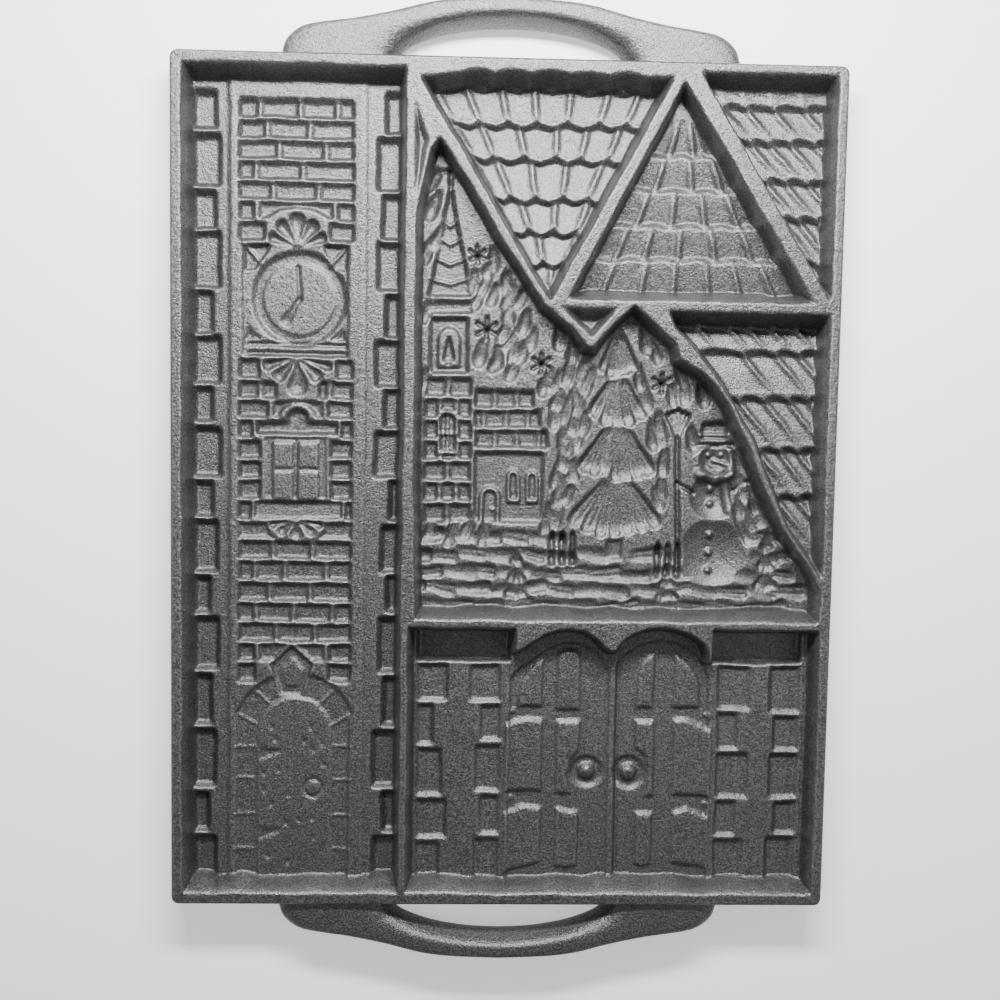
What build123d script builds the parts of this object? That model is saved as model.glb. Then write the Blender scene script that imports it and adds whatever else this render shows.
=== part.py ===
"""Cast-iron gingerbread mold: a shallow tray whose ridges part it into the pieces of a house.

The mold lies on its flat back with its face up. X runs across it, Y towards the end with the
steep roofs, Z up out of the face. The origin is under the middle, on the back plane.

The real mold is one casting. Each solid here is one region of it, split where the casting's own
ridges and panels change, and the regions meet face to face without overlapping.
"""

import math
import os

from build123d import *

os.makedirs("parts", exist_ok=True)

# Driving dimensions, in mm
WIDTH = 254.0
LENGTH = 324.0
THICKNESS = 16.0
FLOOR = 6.0
CORNER_RADIUS = 3.0
EDGE_ROUNDING = 1.0

# The relief is drawn for a face 254 wide and 324 long, and stretches with the face
STRETCH_X = WIDTH / 254.0
STRETCH_Y = LENGTH / 324.0

# Draft of a compartment's wall, as its run from the rim plane down to the floor.
# A wall that faces the near end, -Y, is laid back more than the others.
SIDE_RUN = 2.4
FAR_WALL_EXTRA_RUN = 1.4

# How deep the shallow recesses and how high the raised pads are, measured from the floor
BRICK_DEPTH = 2.0
QUOIN_DEPTH = 2.2
TILE_DEPTH = 2.2
TILE_RISE = 1.9
PAD_HEIGHT = 0.8
RECESS_RUN = 0.7
MORTAR = 1.3
OVER = 0.5

# The strips that hold the corner stones lie a little lower than the tower's middle
STRIP_FLOOR = FLOOR - 0.8
DOOR_FLOOR = FLOOR - 0.8

# Loop handles at both ends
HANDLE_REACH = 23.0
HANDLE_BACK = 2.0
HANDLE_FRONT = 14.0


def across(x):
    """Place across the face of a line of the drawing."""
    return x * STRETCH_X


def along(y):
    """Place along the face of a line of the drawing."""
    return y * STRETCH_Y


def laid_out(points):
    """An outline of the drawing, stretched to the face."""
    return [(across(x), along(y)) for x, y in points]


def run_for(nx, ny):
    """How far a wall runs inwards over its depth, from the way it faces."""
    return SIDE_RUN + FAR_WALL_EXTRA_RUN * max(0.0, -ny)


def inset(outline, run):
    """Move every edge of a counter-clockwise outline inwards by run(nx, ny)."""
    lines = []
    for (x0, y0), (x1, y1) in zip(outline, outline[1:] + outline[:1]):
        length = math.hypot(x1 - x0, y1 - y0)
        nx, ny = -(y1 - y0) / length, (x1 - x0) / length
        lines.append((nx, ny, nx * x0 + ny * y0 + run(nx, ny)))
    moved = []
    for a, b in zip(lines[-1:] + lines[:-1], lines):
        det = a[0] * b[1] - a[1] * b[0]
        moved.append(((a[2] * b[1] - a[1] * b[2]) / det, (a[0] * b[2] - a[2] * b[0]) / det))
    return moved


def foot_of(outline):
    """The outline of a compartment's floor, from its outline at the rim plane."""
    return inset(outline, run_for)


def frustum(lower, z_low, upper, z_high):
    """Solid with plane sides between two outlines that have the same number of corners."""
    low = [Vector(x, y, z_low) for x, y in lower]
    high = [Vector(x, y, z_high) for x, y in upper]
    faces = [Face(Wire.make_polygon(low)), Face(Wire.make_polygon(high))]
    count = len(low)
    for i in range(count):
        j = (i + 1) % count
        faces.append(Face(Wire.make_polygon([low[i], low[j], high[j], high[i]])))
    return Solid(Shell(faces))


def prism(outline, z_low, z_high):
    """Solid with upright sides over an outline."""
    return frustum(outline, z_low, outline, z_high)


def rectangle(x0, x1, y0, y1):
    """Counter-clockwise corners of a rectangle."""
    return [(x0, y0), (x1, y0), (x1, y1), (x0, y1)]


def stretch_of(x0, x1, y0, y1, z0=-1.0, z1=FLOOR + 1.0):
    """Block over a rectangle of the drawing, such as the one that cuts a panel out of a floor."""
    return prism(laid_out(rectangle(x0, x1, y0, y1)), z0, z1)


def recess(outline, depth, surface=FLOOR, run=RECESS_RUN):
    """Tool for a drafted recess whose mouth is drawn, reaching OVER above the surface."""
    drawn = laid_out(outline)
    mouth = inset(drawn, lambda nx, ny: -run * OVER / depth)
    return frustum(inset(drawn, lambda nx, ny: run), surface - depth, mouth, surface + OVER)


def pad(outline, height=PAD_HEIGHT, surface=FLOOR, run=0.4):
    """Drafted pad standing on a surface, rooted a little below it."""
    drawn = laid_out(outline)
    base = inset(drawn, lambda nx, ny: -run * OVER / height)
    return frustum(base, surface - OVER, inset(drawn, lambda nx, ny: run), surface + height)


def ring_groove(cx, cy, outer, inner, bottom):
    """Tool for a round groove with a boss left standing inside it."""
    centred = (Align.CENTER, Align.CENTER, Align.MIN)
    band = Cylinder(outer, THICKNESS, align=centred) - Cylinder(inner, THICKNESS, align=centred)
    return Pos(across(cx), along(cy), bottom) * band


def arc_points(cx, cy, radius, start, end, count):
    """Points on a circle's arc, from one angle in degrees to another."""
    step = (end - start) / (count - 1)
    angles = [math.radians(start + step * i) for i in range(count)]
    return [(cx + radius * math.cos(a), cy + radius * math.sin(a)) for a in angles]


def cut(solid, tools):
    """Subtract a list of tools, or hand the solid back if there are none."""
    return solid - tools if tools else solid


def save(name, shape):
    """Write one region as parts/NAME.step."""
    solids = shape.solids()
    body = solids[0] if len(solids) == 1 else Compound(solids)
    body.label = name
    export_step(body, f"parts/{name}.step")


# Compartment outlines at the rim plane, counter-clockwise
TOWER = laid_out(rectangle(-122.2, -40.0, -156.9, 157.5))
SPIRE = laid_out([(23.0, 73.4), (116.2, 73.4), (65.0, 154.1)])
UPPER_CORNER = laid_out([(122.5, 75.0), (122.5, 158.3), (71.6, 158.3), (76.3, 150.3)])
LOWER_CORNER = laid_out([
    (122.6, -31.5), (122.6, 69.0), (61.3, 69.0), (64.5, 62.8), (71.5, 55.5), (80.0, 45.0),
    (88.0, 33.0), (95.4, 20.0), (103.8, 0.0), (110.4, -15.0),
])
SCENE = laid_out([
    (-33.5, -49.4), (121.8, -49.4), (122.5, -37.5), (117.5, -28.3), (107.1, -14.2),
    (100.2, 0.0), (92.8, 17.5), (84.8, 34.0), (80.0, 40.4), (75.0, 45.4), (65.5, 51.5),
    (63.8, 57.0), (47.7, 71.0), (40.0, 63.0), (32.6, 54.6), (29.6, 55.2), (24.0, 62.0),
    (13.3, 70.3), (5.0, 83.2), (-4.4, 97.2), (-15.6, 115.6), (-26.9, 131.5), (-29.8, 127.5),
    (-34.5, 105.0), (-34.8, 20.0),
])
DOORS = laid_out([
    (-36.2, -156.9), (122.4, -156.9), (122.4, -53.0), (81.6, -53.0), (81.4, -66.0),
    (80.4, -66.0), (79.6, -62.1), (77.9, -58.6), (74.0, -55.5), (68.1, -53.2), (62.2, -52.5),
    (55.4, -53.2), (50.5, -55.2), (46.5, -58.1), (43.6, -61.9), (41.7, -61.9), (38.7, -59.8),
    (35.5, -56.5), (31.4, -54.0), (25.7, -53.0), (20.8, -53.6), (15.9, -55.7), (12.0, -58.3),
    (8.3, -60.8), (4.7, -62.6), (4.6, -53.2), (-36.2, -53.2),
])
SMALL_POCKET = [(32.0, 59.3), (41.0, 69.9), (20.0, 69.9)]
SLIVER_POCKET = [(-35.6, 111.0), (-31.4, 131.0), (-36.2, 144.5)]

SMALL_POCKET_FLOOR = 9.5
SLIVER_FLOOR = 12.8


def roof_outline():
    """The upside-down roof: two straight sides and an eave scalloped by the tile ends."""
    apex, right_end, left_end = (15.6, 72.8), (60.5, 156.0), (-33.8, 154.2)
    joints = [50.0, 36.3, 21.9, 7.0, -7.0, -19.4]
    base, rise = 155.9, 1.4
    eave = []
    for start, end in zip(joints, joints[1:]):
        for share in (0.0, 0.2, 0.5, 0.8):
            bulge = rise * math.sin(math.pi * share)
            eave.append((start + (end - start) * share, base + bulge))
    eave.append((joints[-1], base))
    return laid_out([apex, right_end] + eave + [left_end])


ROOF = roof_outline()
TOWER_FOOT = foot_of(TOWER)
ROOF_FOOT = foot_of(ROOF)
SPIRE_FOOT = foot_of(SPIRE)
UPPER_FOOT = foot_of(UPPER_CORNER)
LOWER_FOOT = foot_of(LOWER_CORNER)
SCENE_FOOT = foot_of(SCENE)
DOORS_FOOT = foot_of(DOORS)


def cavity(outline):
    """Everything that a through-cut compartment takes out of the block, floor panel included."""
    foot = foot_of(outline)
    share = OVER / (THICKNESS - FLOOR)
    mouth = inset(outline, lambda nx, ny: -run_for(nx, ny) * share)
    return [frustum(foot, FLOOR, mouth, THICKNESS + OVER), prism(foot, -OVER, FLOOR)]


def blind_pocket(outline, floor, run):
    """Tool for a pocket that stays inside the ridges."""
    return recess(outline, THICKNESS - floor, surface=THICKNESS, run=run)


def build_ridges():
    """The rim and every ridge, as one block with the compartments taken out, then split."""
    block = Box(WIDTH, LENGTH, THICKNESS, align=(Align.CENTER, Align.CENTER, Align.MIN))
    block = fillet(block.edges().filter_by(Axis.Z), CORNER_RADIUS)
    block = fillet(block.faces().sort_by(Axis.Z)[-1].edges(), EDGE_ROUNDING)
    tools = []
    for outline in (TOWER, ROOF, SPIRE, UPPER_CORNER, LOWER_CORNER, SCENE, DOORS):
        tools += cavity(outline)
    tools.append(blind_pocket(SMALL_POCKET, SMALL_POCKET_FLOOR, 1.9))
    tools.append(blind_pocket(SLIVER_POCKET, SLIVER_FLOOR, 1.2))
    rest = block - tools

    # The rim's bars meet on miter lines that start beyond the block's corners
    half_x, half_y = 128.0, 163.0
    side = 119.5
    end_top, end_bottom = 151.0, -154.0
    miter_x = half_x - (half_y - end_top)
    miter_y = half_y - (half_x - side)
    scene_left, doors_left, lintel = -31.1, -33.8, -51.0
    regions = {
        "top_rim": [(-half_x, half_y), (-miter_x, end_top), (miter_x, end_top), (half_x, half_y)],
        "bottom_rim": [(-half_x, -half_y), (half_x, -half_y), (side, end_bottom), (-side, end_bottom)],
        "left_rim": [(-half_x, -half_y), (-side, end_bottom), (-side, miter_y), (-half_x, half_y)],
        "right_rim": [(half_x, -half_y), (half_x, half_y), (side, miter_y), (side, end_bottom)],
        "tower_lower_divider": rectangle(-43.0, doors_left, end_bottom, lintel),
        "tower_upper_divider": [
            (-43.0, lintel), (scene_left, lintel), (scene_left, 104.0), (-36.8, 104.0),
            (-36.8, end_top), (-43.0, end_top),
        ],
        "roof_left_ridge": [
            (-36.8, 104.0), (scene_left, 104.0), (scene_left, 77.5), (15.6, 77.5), (15.6, 140.0),
            (-24.0, end_top), (-36.8, end_top),
        ],
        "roof_right_ridge": [(15.6, 77.5), (40.0, 77.5), (70.0, end_top), (40.0, end_top), (15.6, 140.0)],
        "spire_right_ridge": [(40.0, 77.5), (side, 77.5), (side, end_top), (70.0, end_top)],
        "eaves_ridge": [(scene_left, 65.0), (side, 65.0), (side, 77.5), (scene_left, 77.5)],
        "pocket_ridge": [(0.0, 45.0), (47.0, 45.0), (47.0, 65.0), (0.0, 65.0)],
        "gable_upper_ridge": [(47.0, 30.0), (side, 30.0), (side, 65.0), (47.0, 65.0)],
        "gable_lower_ridge": [(60.0, -43.0), (side, -43.0), (side, 30.0), (60.0, 30.0)],
        "left_lintel_ridge": [
            (doors_left, -80.0), (2.1, -80.0), (2.1, -43.0), (scene_left, -43.0),
            (scene_left, lintel), (doors_left, lintel),
        ],
        "left_arch_ridge": rectangle(2.1, 42.65, -80.0, -43.0),
        "right_arch_ridge": rectangle(42.65, 84.2, -80.0, -43.0),
        "right_lintel_ridge": rectangle(84.2, side, -80.0, -43.0),
    }
    for name, region in regions.items():
        piece = rest & prism(laid_out(region), -1.0, THICKNESS + 1.0)
        save(name, piece)


def courses(first_top, pitch, joints_by_course, left, right):
    """Brick recesses for a stack of courses; None leaves a stretch of a course empty."""
    bricks = []
    for index, joints in enumerate(joints_by_course):
        top = first_top - pitch * index
        bottom = top - pitch + MORTAR * 0.6
        edges = [left - MORTAR / 2] + joints + [right + MORTAR / 2]
        for start, end in zip(edges, edges[1:]):
            bricks.append(recess(rectangle(start + MORTAR / 2, end - MORTAR / 2, bottom, top), BRICK_DEPTH))
    return bricks


def side_courses(first_top, pitch, count, spans):
    """Brick recesses in the same spans of several courses, such as both sides of the window."""
    bricks = []
    for index in range(count):
        top = first_top - pitch * index
        bottom = top - pitch + MORTAR * 0.6
        for start, end in spans:
            bricks.append(recess(rectangle(start, end, bottom, top), BRICK_DEPTH))
    return bricks


# Lines of the drawing: the tower's brick field, and where its panels and courses lie
FIELD_LEFT, FIELD_RIGHT = -106.5, -54.5
BRICK_LEFT, BRICK_RIGHT = -103.5, -59.2
CLOCK_TOP, CLOCK_BOTTOM = 93.6, 49.5
WINDOW_BOTTOM, PORTAL_TOP = -13.5, -61.1
UPPER_PITCH, LOWER_PITCH = 7.7, 7.88
CLOCK_CENTRE = (-80.0, 72.2)

LEFT_STONE_JOINTS = [
    134.8, 113.9, 97.8, 75.5, 58.0, 38.8, 23.8, 2.8, -12.4, -34.4, -50.4, -73.0, -94.6, -119.7, -137.3,
]
RIGHT_STONE_JOINTS = [
    134.5, 113.1, 94.6, 75.2, 57.4, 39.0, 22.7, 3.7, -14.0, -33.9, -49.9, -73.5, -95.0, -119.4, -137.2,
]


def corner_stones(joints, wall_side, short, long, first_is_long):
    """Recesses of the tower's corner stones, short and long by turns."""
    tops = [150.9] + joints
    bottoms = joints + [-153.6]
    stones = []
    for index, (top, bottom) in enumerate(zip(tops, bottoms)):
        is_long = (index % 2 == 0) == first_is_long
        inner = long if is_long else short
        x0, x1 = sorted((wall_side, inner))
        shape = rectangle(x0, x1, bottom + MORTAR / 2, top - MORTAR / 2)
        stones.append(recess(shape, QUOIN_DEPTH, surface=STRIP_FLOOR, run=0.9))
    return stones


def petal(cx, cy, inner, outer, start, end, flip):
    """Recess of one petal of a fan; flip turns the fan upside down."""
    points = arc_points(cx, cy, inner, start, end, 3) + arc_points(cx, cy, outer, end, start, 5)
    if flip:
        points = [(x, 2 * cy - y) for x, y in points]
    area = sum(a[0] * b[1] - b[0] * a[1] for a, b in zip(points, points[1:] + points[:1]))
    ordered = laid_out(points if area > 0 else points[::-1])
    return prism(ordered, FLOOR - 1.8, FLOOR + OVER)


def fan(cx, cy, outer, flip):
    """Three petals that radiate from one point, the middle one longest."""
    petals = [petal(cx, cy, 1.6, outer, 118.0, 62.0, flip)]
    petals.append(petal(cx, cy, 2.2, outer * 0.86, 172.0, 124.0, flip))
    petals.append(petal(cx, cy, 2.2, outer * 0.86, 56.0, 8.0, flip))
    return petals


def build_tower():
    """Floor panels of the tall tower: corner stones, brickwork, clock, window and portal."""
    whole = prism(TOWER_FOOT, 0.0, FLOOR)
    lowered = prism(TOWER_FOOT, 0.0, STRIP_FLOOR)
    beyond_left, beyond_right, beyond_end = -126.0, -38.0, 160.0
    strip = lowered & stretch_of(beyond_left, FIELD_LEFT, -beyond_end, beyond_end)
    stones = corner_stones(LEFT_STONE_JOINTS, -120.4, -112.0, -109.6, False)
    save("left_corner_stones", cut(strip, stones))
    strip = lowered & stretch_of(FIELD_RIGHT, beyond_right, -beyond_end, beyond_end)
    stones = corner_stones(RIGHT_STONE_JOINTS, -41.5, -47.9, -51.0, False)
    save("right_corner_stones", cut(strip, stones))

    def field(bottom, top):
        """One panel of the brick field, before its pattern is cut."""
        return whole & stretch_of(FIELD_LEFT, FIELD_RIGHT, bottom, top)

    panel = field(CLOCK_TOP, beyond_end)
    joints = [
        [-95.2, -79.8, -65.6], [-92.2, -76.1], [-87.8, -69.8], [-96.5, -78.9], [-90.3, -73.0],
    ]
    bricks = courses(147.3, UPPER_PITCH, joints, BRICK_LEFT, BRICK_RIGHT)
    spans = [(BRICK_LEFT, -97.0), (-95.8, -87.5), (-73.5, -66.5), (-65.2, BRICK_RIGHT)]
    bricks += side_courses(147.3 - 5 * UPPER_PITCH, UPPER_PITCH, 1, spans)
    spans = [(BRICK_LEFT, -93.5), (-67.5, BRICK_RIGHT)]
    bricks += side_courses(147.3 - 6 * UPPER_PITCH, UPPER_PITCH, 1, spans)
    save("upper_brickwork", panel - (bricks + fan(-80.2, CLOCK_TOP + 0.4, 10.0, False)))

    panel = field(CLOCK_BOTTOM, CLOCK_TOP)
    panel = panel - recess(rectangle(-102.2, -61.0, CLOCK_BOTTOM + 0.4, CLOCK_TOP - 0.4), 1.0)
    cx, cy = CLOCK_CENTRE
    sunk = FLOOR - 1.0
    grooves = [rectangle(-99.0, -62.5, 53.4, 55.9), rectangle(-99.0, -62.5, 50.4, 52.9)]
    leaves = [
        [(-101.0, 92.0), (-101.0, 83.6), (-94.2, 83.6), (-91.2, 92.0)],
        [(-62.2, 83.6), (-62.2, 92.0), (-69.0, 92.0), (-66.0, 83.6)],
    ]
    hands = [
        rectangle(cx - 0.9, cx + 0.9, cy, cy + 13.0),
        [(cx - 5.4, cy - 6.6), (cx - 3.6, cy - 7.6), (cx + 0.8, cy - 0.6), (cx - 0.8, cy + 0.6)],
    ]
    tools = [ring_groove(cx, cy, 18.2, 14.2, FLOOR - 2.8)]
    tools += [recess(shape, 1.2, surface=sunk, run=0.3) for shape in grooves + hands]
    tools += [recess(shape, 1.4, surface=sunk, run=0.3) for shape in leaves]
    save("clock_panel", panel - tools)

    panel = field(WINDOW_BOTTOM, CLOCK_BOTTOM)
    rows_of_spans = [
        [(BRICK_LEFT, -95.0), (-66.0, BRICK_RIGHT)],
        [(BRICK_LEFT, -95.8), (-94.0, -88.0), (-73.0, -68.6), (-67.3, BRICK_RIGHT)],
        [(BRICK_LEFT, -91.6), (-69.8, BRICK_RIGHT)],
        [(BRICK_LEFT, -97.4), (-63.8, BRICK_RIGHT)],
    ] + [[(BRICK_LEFT, -94.0), (-68.6, BRICK_RIGHT)]] * 3
    bricks = []
    for index, spans in enumerate(rows_of_spans):
        bricks += side_courses(49.0 - index * LOWER_PITCH, LOWER_PITCH, 1, spans)
    hood = [
        (-96.2, 20.2), (-64.8, 20.2), (-64.8, 25.8), (-75.6, 26.0), (-80.4, 30.8), (-85.2, 26.0),
        (-96.2, 25.8),
    ]
    bricks.append(recess(hood, 2.0))
    bricks.append(recess(rectangle(-97.0, -63.2, -12.6, -5.8), 2.0))
    bricks += fan(-80.6, 49.2, 13.0, True)
    panes = [pad(rectangle(x, x + 6.8, y, y + 9.4)) for x in (-89.2, -79.4) for y in (7.6, -4.4)]
    save("window_panel", (panel - bricks) + panes)

    panel = field(PORTAL_TOP, WINDOW_BOTTOM)
    joints = [
        [-90.0, -74.6], [-96.8, -85.0, -69.0], [-90.8, -75.3], [-96.2, -81.8, -66.7], [-88.6, -73.3],
    ]
    bricks = courses(-13.7 - LOWER_PITCH, LOWER_PITCH, joints, BRICK_LEFT, BRICK_RIGHT)
    bricks += side_courses(-14.2, LOWER_PITCH - 0.6, 1, [(BRICK_LEFT, -88.5), (-71.5, BRICK_RIGHT)])
    bricks += fan(-80.6, WINDOW_BOTTOM - 0.2, 6.8, True)
    save("middle_brickwork", panel - bricks)

    panel = field(-beyond_end, PORTAL_TOP)
    spans = [(BRICK_LEFT, -96.4), (-95.2, -89.6), (-75.6, -69.4), (-68.2, BRICK_RIGHT)]
    bricks = side_courses(PORTAL_TOP - 0.3, LOWER_PITCH, 1, spans)
    spans = [(BRICK_LEFT, -96.2), (-69.0, BRICK_RIGHT)]
    bricks += side_courses(PORTAL_TOP - LOWER_PITCH, LOWER_PITCH, 1, spans)
    keystone = [(-87.2, -81.0), (-78.2, -81.0), (-74.4, -70.0), (-82.2, -62.4), (-90.0, -70.0)]
    door_x, spring_y, door_r, foot_y = -81.0, -97.0, 14.8, -153.6
    shoulders = arc_points(door_x, spring_y, 24.0, 12.0, 168.0, 13)
    surround = [(BRICK_LEFT, foot_y), (BRICK_RIGHT, foot_y), (BRICK_RIGHT, -93.0)] + shoulders
    surround.append((BRICK_LEFT, -93.0))
    opening = [(door_x - door_r, foot_y - 1.0), (door_x + door_r, foot_y - 1.0)]
    opening += arc_points(door_x, spring_y, door_r, 0.0, 180.0, 15)
    jambs = prism(laid_out(surround), FLOOR - 1.4, FLOOR + OVER)
    jambs = jambs - prism(laid_out(opening), 0.0, THICKNESS)
    hinges = [
        [(-95.8, y), (-86.6, y + 3.3), (-86.6, y + 4.5), (-95.8, y + 5.1)] for y in (-108.3, -140.5)
    ]
    tools = bricks + [jambs, recess(keystone, 1.8, run=0.5)]
    tools += [recess(hinge, 1.2, run=0.3) for hinge in hinges]
    tools.append(ring_groove(-73.7, -118.7, 3.8, 1.9, FLOOR - 1.2))
    save("portal_panel", panel - tools)


def sloping_recess(outline, thin_y, thick_y):
    """Tool for a tile's recess: deepest at thick_y and running out to nearly nothing at thin_y."""
    outward = 1.0 if thick_y > thin_y else -1.0
    start, low = min(x for x, y in outline) - 1.0, FLOOR - TILE_DEPTH - 0.2
    bed = Face(Wire.make_polygon([
        Vector(start, thin_y - outward, low),
        Vector(start, thick_y + outward * 0.5, low),
        Vector(start, thin_y - outward, FLOOR - TILE_DEPTH + TILE_RISE),
    ]))
    wedge = extrude(bed, amount=max(x for x, y in outline) - start + 1.0, dir=(1, 0, 0))
    return (prism(outline, FLOOR - TILE_DEPTH, FLOOR + OVER) - wedge).solids()


def fanned_tiles(apex, rows, direction):
    """Tiles of a triangular roof, in rows whose joints all point at the apex.

    Each row is (thick_end_y, thin_end_y, slopes): slopes are the joints' x travel per mm away
    from the apex, the first and last being the row's ends. direction is +1 where the rows
    lie above the apex and -1 where they lie below it.
    """
    tools = []
    gap = 0.7
    ax, ay = apex
    for thick_y, thin_y, slopes in rows:
        for start, end in zip(slopes, slopes[1:]):
            def at(slope, y, shift):
                return (ax + slope * direction * (y - ay) + shift, y)
            outward = 1.0 if thick_y > thin_y else -1.0
            span = abs(end - start) * abs(thick_y - ay)
            scallop = min(1.3, span * 0.1) * outward
            corner = 0.28 * (end - start)
            tile = [
                at(start, thin_y, gap), at(end, thin_y, -gap), at(end, thick_y - scallop, -gap),
                at(end - corner, thick_y, 0.0), at(start + corner, thick_y, 0.0),
                at(start, thick_y - scallop, gap),
            ]
            if outward < 0:
                tile = tile[::-1]
            tools += sloping_recess(laid_out(tile), along(thin_y), along(thick_y))
    return tools


def slanted_tiles(left_of, right, rows, width):
    """Tiles whose joints run along a slanting wall; left_of(y) is that wall's x at height y."""
    tools = []
    gap = 0.6
    for drawn_top, drawn_bottom, shift in rows:
        top, bottom = along(drawn_top), along(drawn_bottom)
        edges = [0.0, shift]
        while left_of(top) + edges[-1] + width < right - 3.0:
            edges.append(edges[-1] + width)
        for start, end in zip(edges, edges[1:] + [None]):
            x_top, x_low = left_of(top) + start + gap, left_of(bottom) + start + gap
            if x_low > right - 3.5:
                continue
            x_top_end = right - 0.8 if end is None else left_of(top) + end - gap
            x_low_end = right - 0.8 if end is None else min(left_of(bottom) + end - gap, right - 0.8)
            if x_top_end - x_top < 2.0 or x_low_end - x_low < 1.0:
                continue
            tile = [(x_low, bottom), (x_low_end, bottom), (x_top_end, top - 0.6), (x_top, top)]
            tools += sloping_recess(tile, bottom, top)
    return tools


def line_x(points):
    """Function that gives x at a height y along a polyline running downwards."""
    def at(y):
        for (x0, y0), (x1, y1) in zip(points, points[1:]):
            if y >= y1:
                return x0 + (x1 - x0) * (y0 - y) / (y0 - y1)
        (x0, y0), (x1, y1) = points[-2:]
        return x0 + (x1 - x0) * (y0 - y) / (y0 - y1)
    return at


def build_roofs():
    """Floor panels of the two triangular roofs and the two slanted corner pieces."""
    panel = prism(ROOF_FOOT, 0.0, FLOOR)
    rows = [
        (150.6, 140.4, [-0.56, -0.41, -0.244, -0.086, 0.092, 0.272, 0.426, 0.50]),
        (138.8, 127.2, [-0.55, -0.405, -0.187, 0.035, 0.213, 0.40, 0.49]),
        (125.6, 112.0, [-0.53, -0.389, -0.14, 0.12, 0.38, 0.475]),
        (110.8, 99.2, [-0.51, -0.30, 0.048, 0.39, 0.455]),
        (98.0, 87.6, [-0.47, -0.16, 0.42]),
    ]
    save("large_roof_tiles", panel - fanned_tiles((15.6, 73.0), rows, 1))

    panel = prism(SPIRE_FOOT, 0.0, FLOOR)
    rows = [
        (130.6, 139.6, [-0.44, -0.21, 0.16, 0.42]),
        (117.6, 128.8, [-0.47, -0.27, 0.094, 0.40, 0.51]),
        (104.4, 115.8, [-0.49, -0.336, -0.077, 0.18, 0.43, 0.54]),
        (91.2, 102.6, [-0.49, -0.39, -0.216, -0.014, 0.207, 0.43, 0.55]),
        (76.8, 89.4, [-0.50, -0.385, -0.20, -0.035, 0.144, 0.303, 0.468, 0.56]),
    ]
    save("spire_roof_tiles", panel - fanned_tiles((66.2, 154.6), rows, -1))

    panel = prism(UPPER_FOOT, 0.0, FLOOR)
    wall = line_x([UPPER_FOOT[3], UPPER_FOOT[0]])
    right = UPPER_FOOT[0][0]
    rows = [(149.0, 136.0, 8.0), (134.6, 121.8, 5.5), (120.4, 107.6, 8.5), (106.2, 88.0, 5.0)]
    save("upper_corner_tiles", panel - slanted_tiles(wall, right, rows, 9.4))

    panel = prism(LOWER_FOOT, 0.0, FLOOR)
    wall = line_x(LOWER_FOOT[3:] + LOWER_FOOT[:1])
    right = LOWER_FOOT[0][0]
    rows = [(64.0, 56.6, 11.0), (55.2, 38.8, 10.0), (37.2, 18.6, 9.0), (17.0, 0.8, 7.5), (-0.8, -18.0, 6.0)]
    save("lower_corner_tiles", panel - slanted_tiles(wall, right, rows, 10.6))


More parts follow.
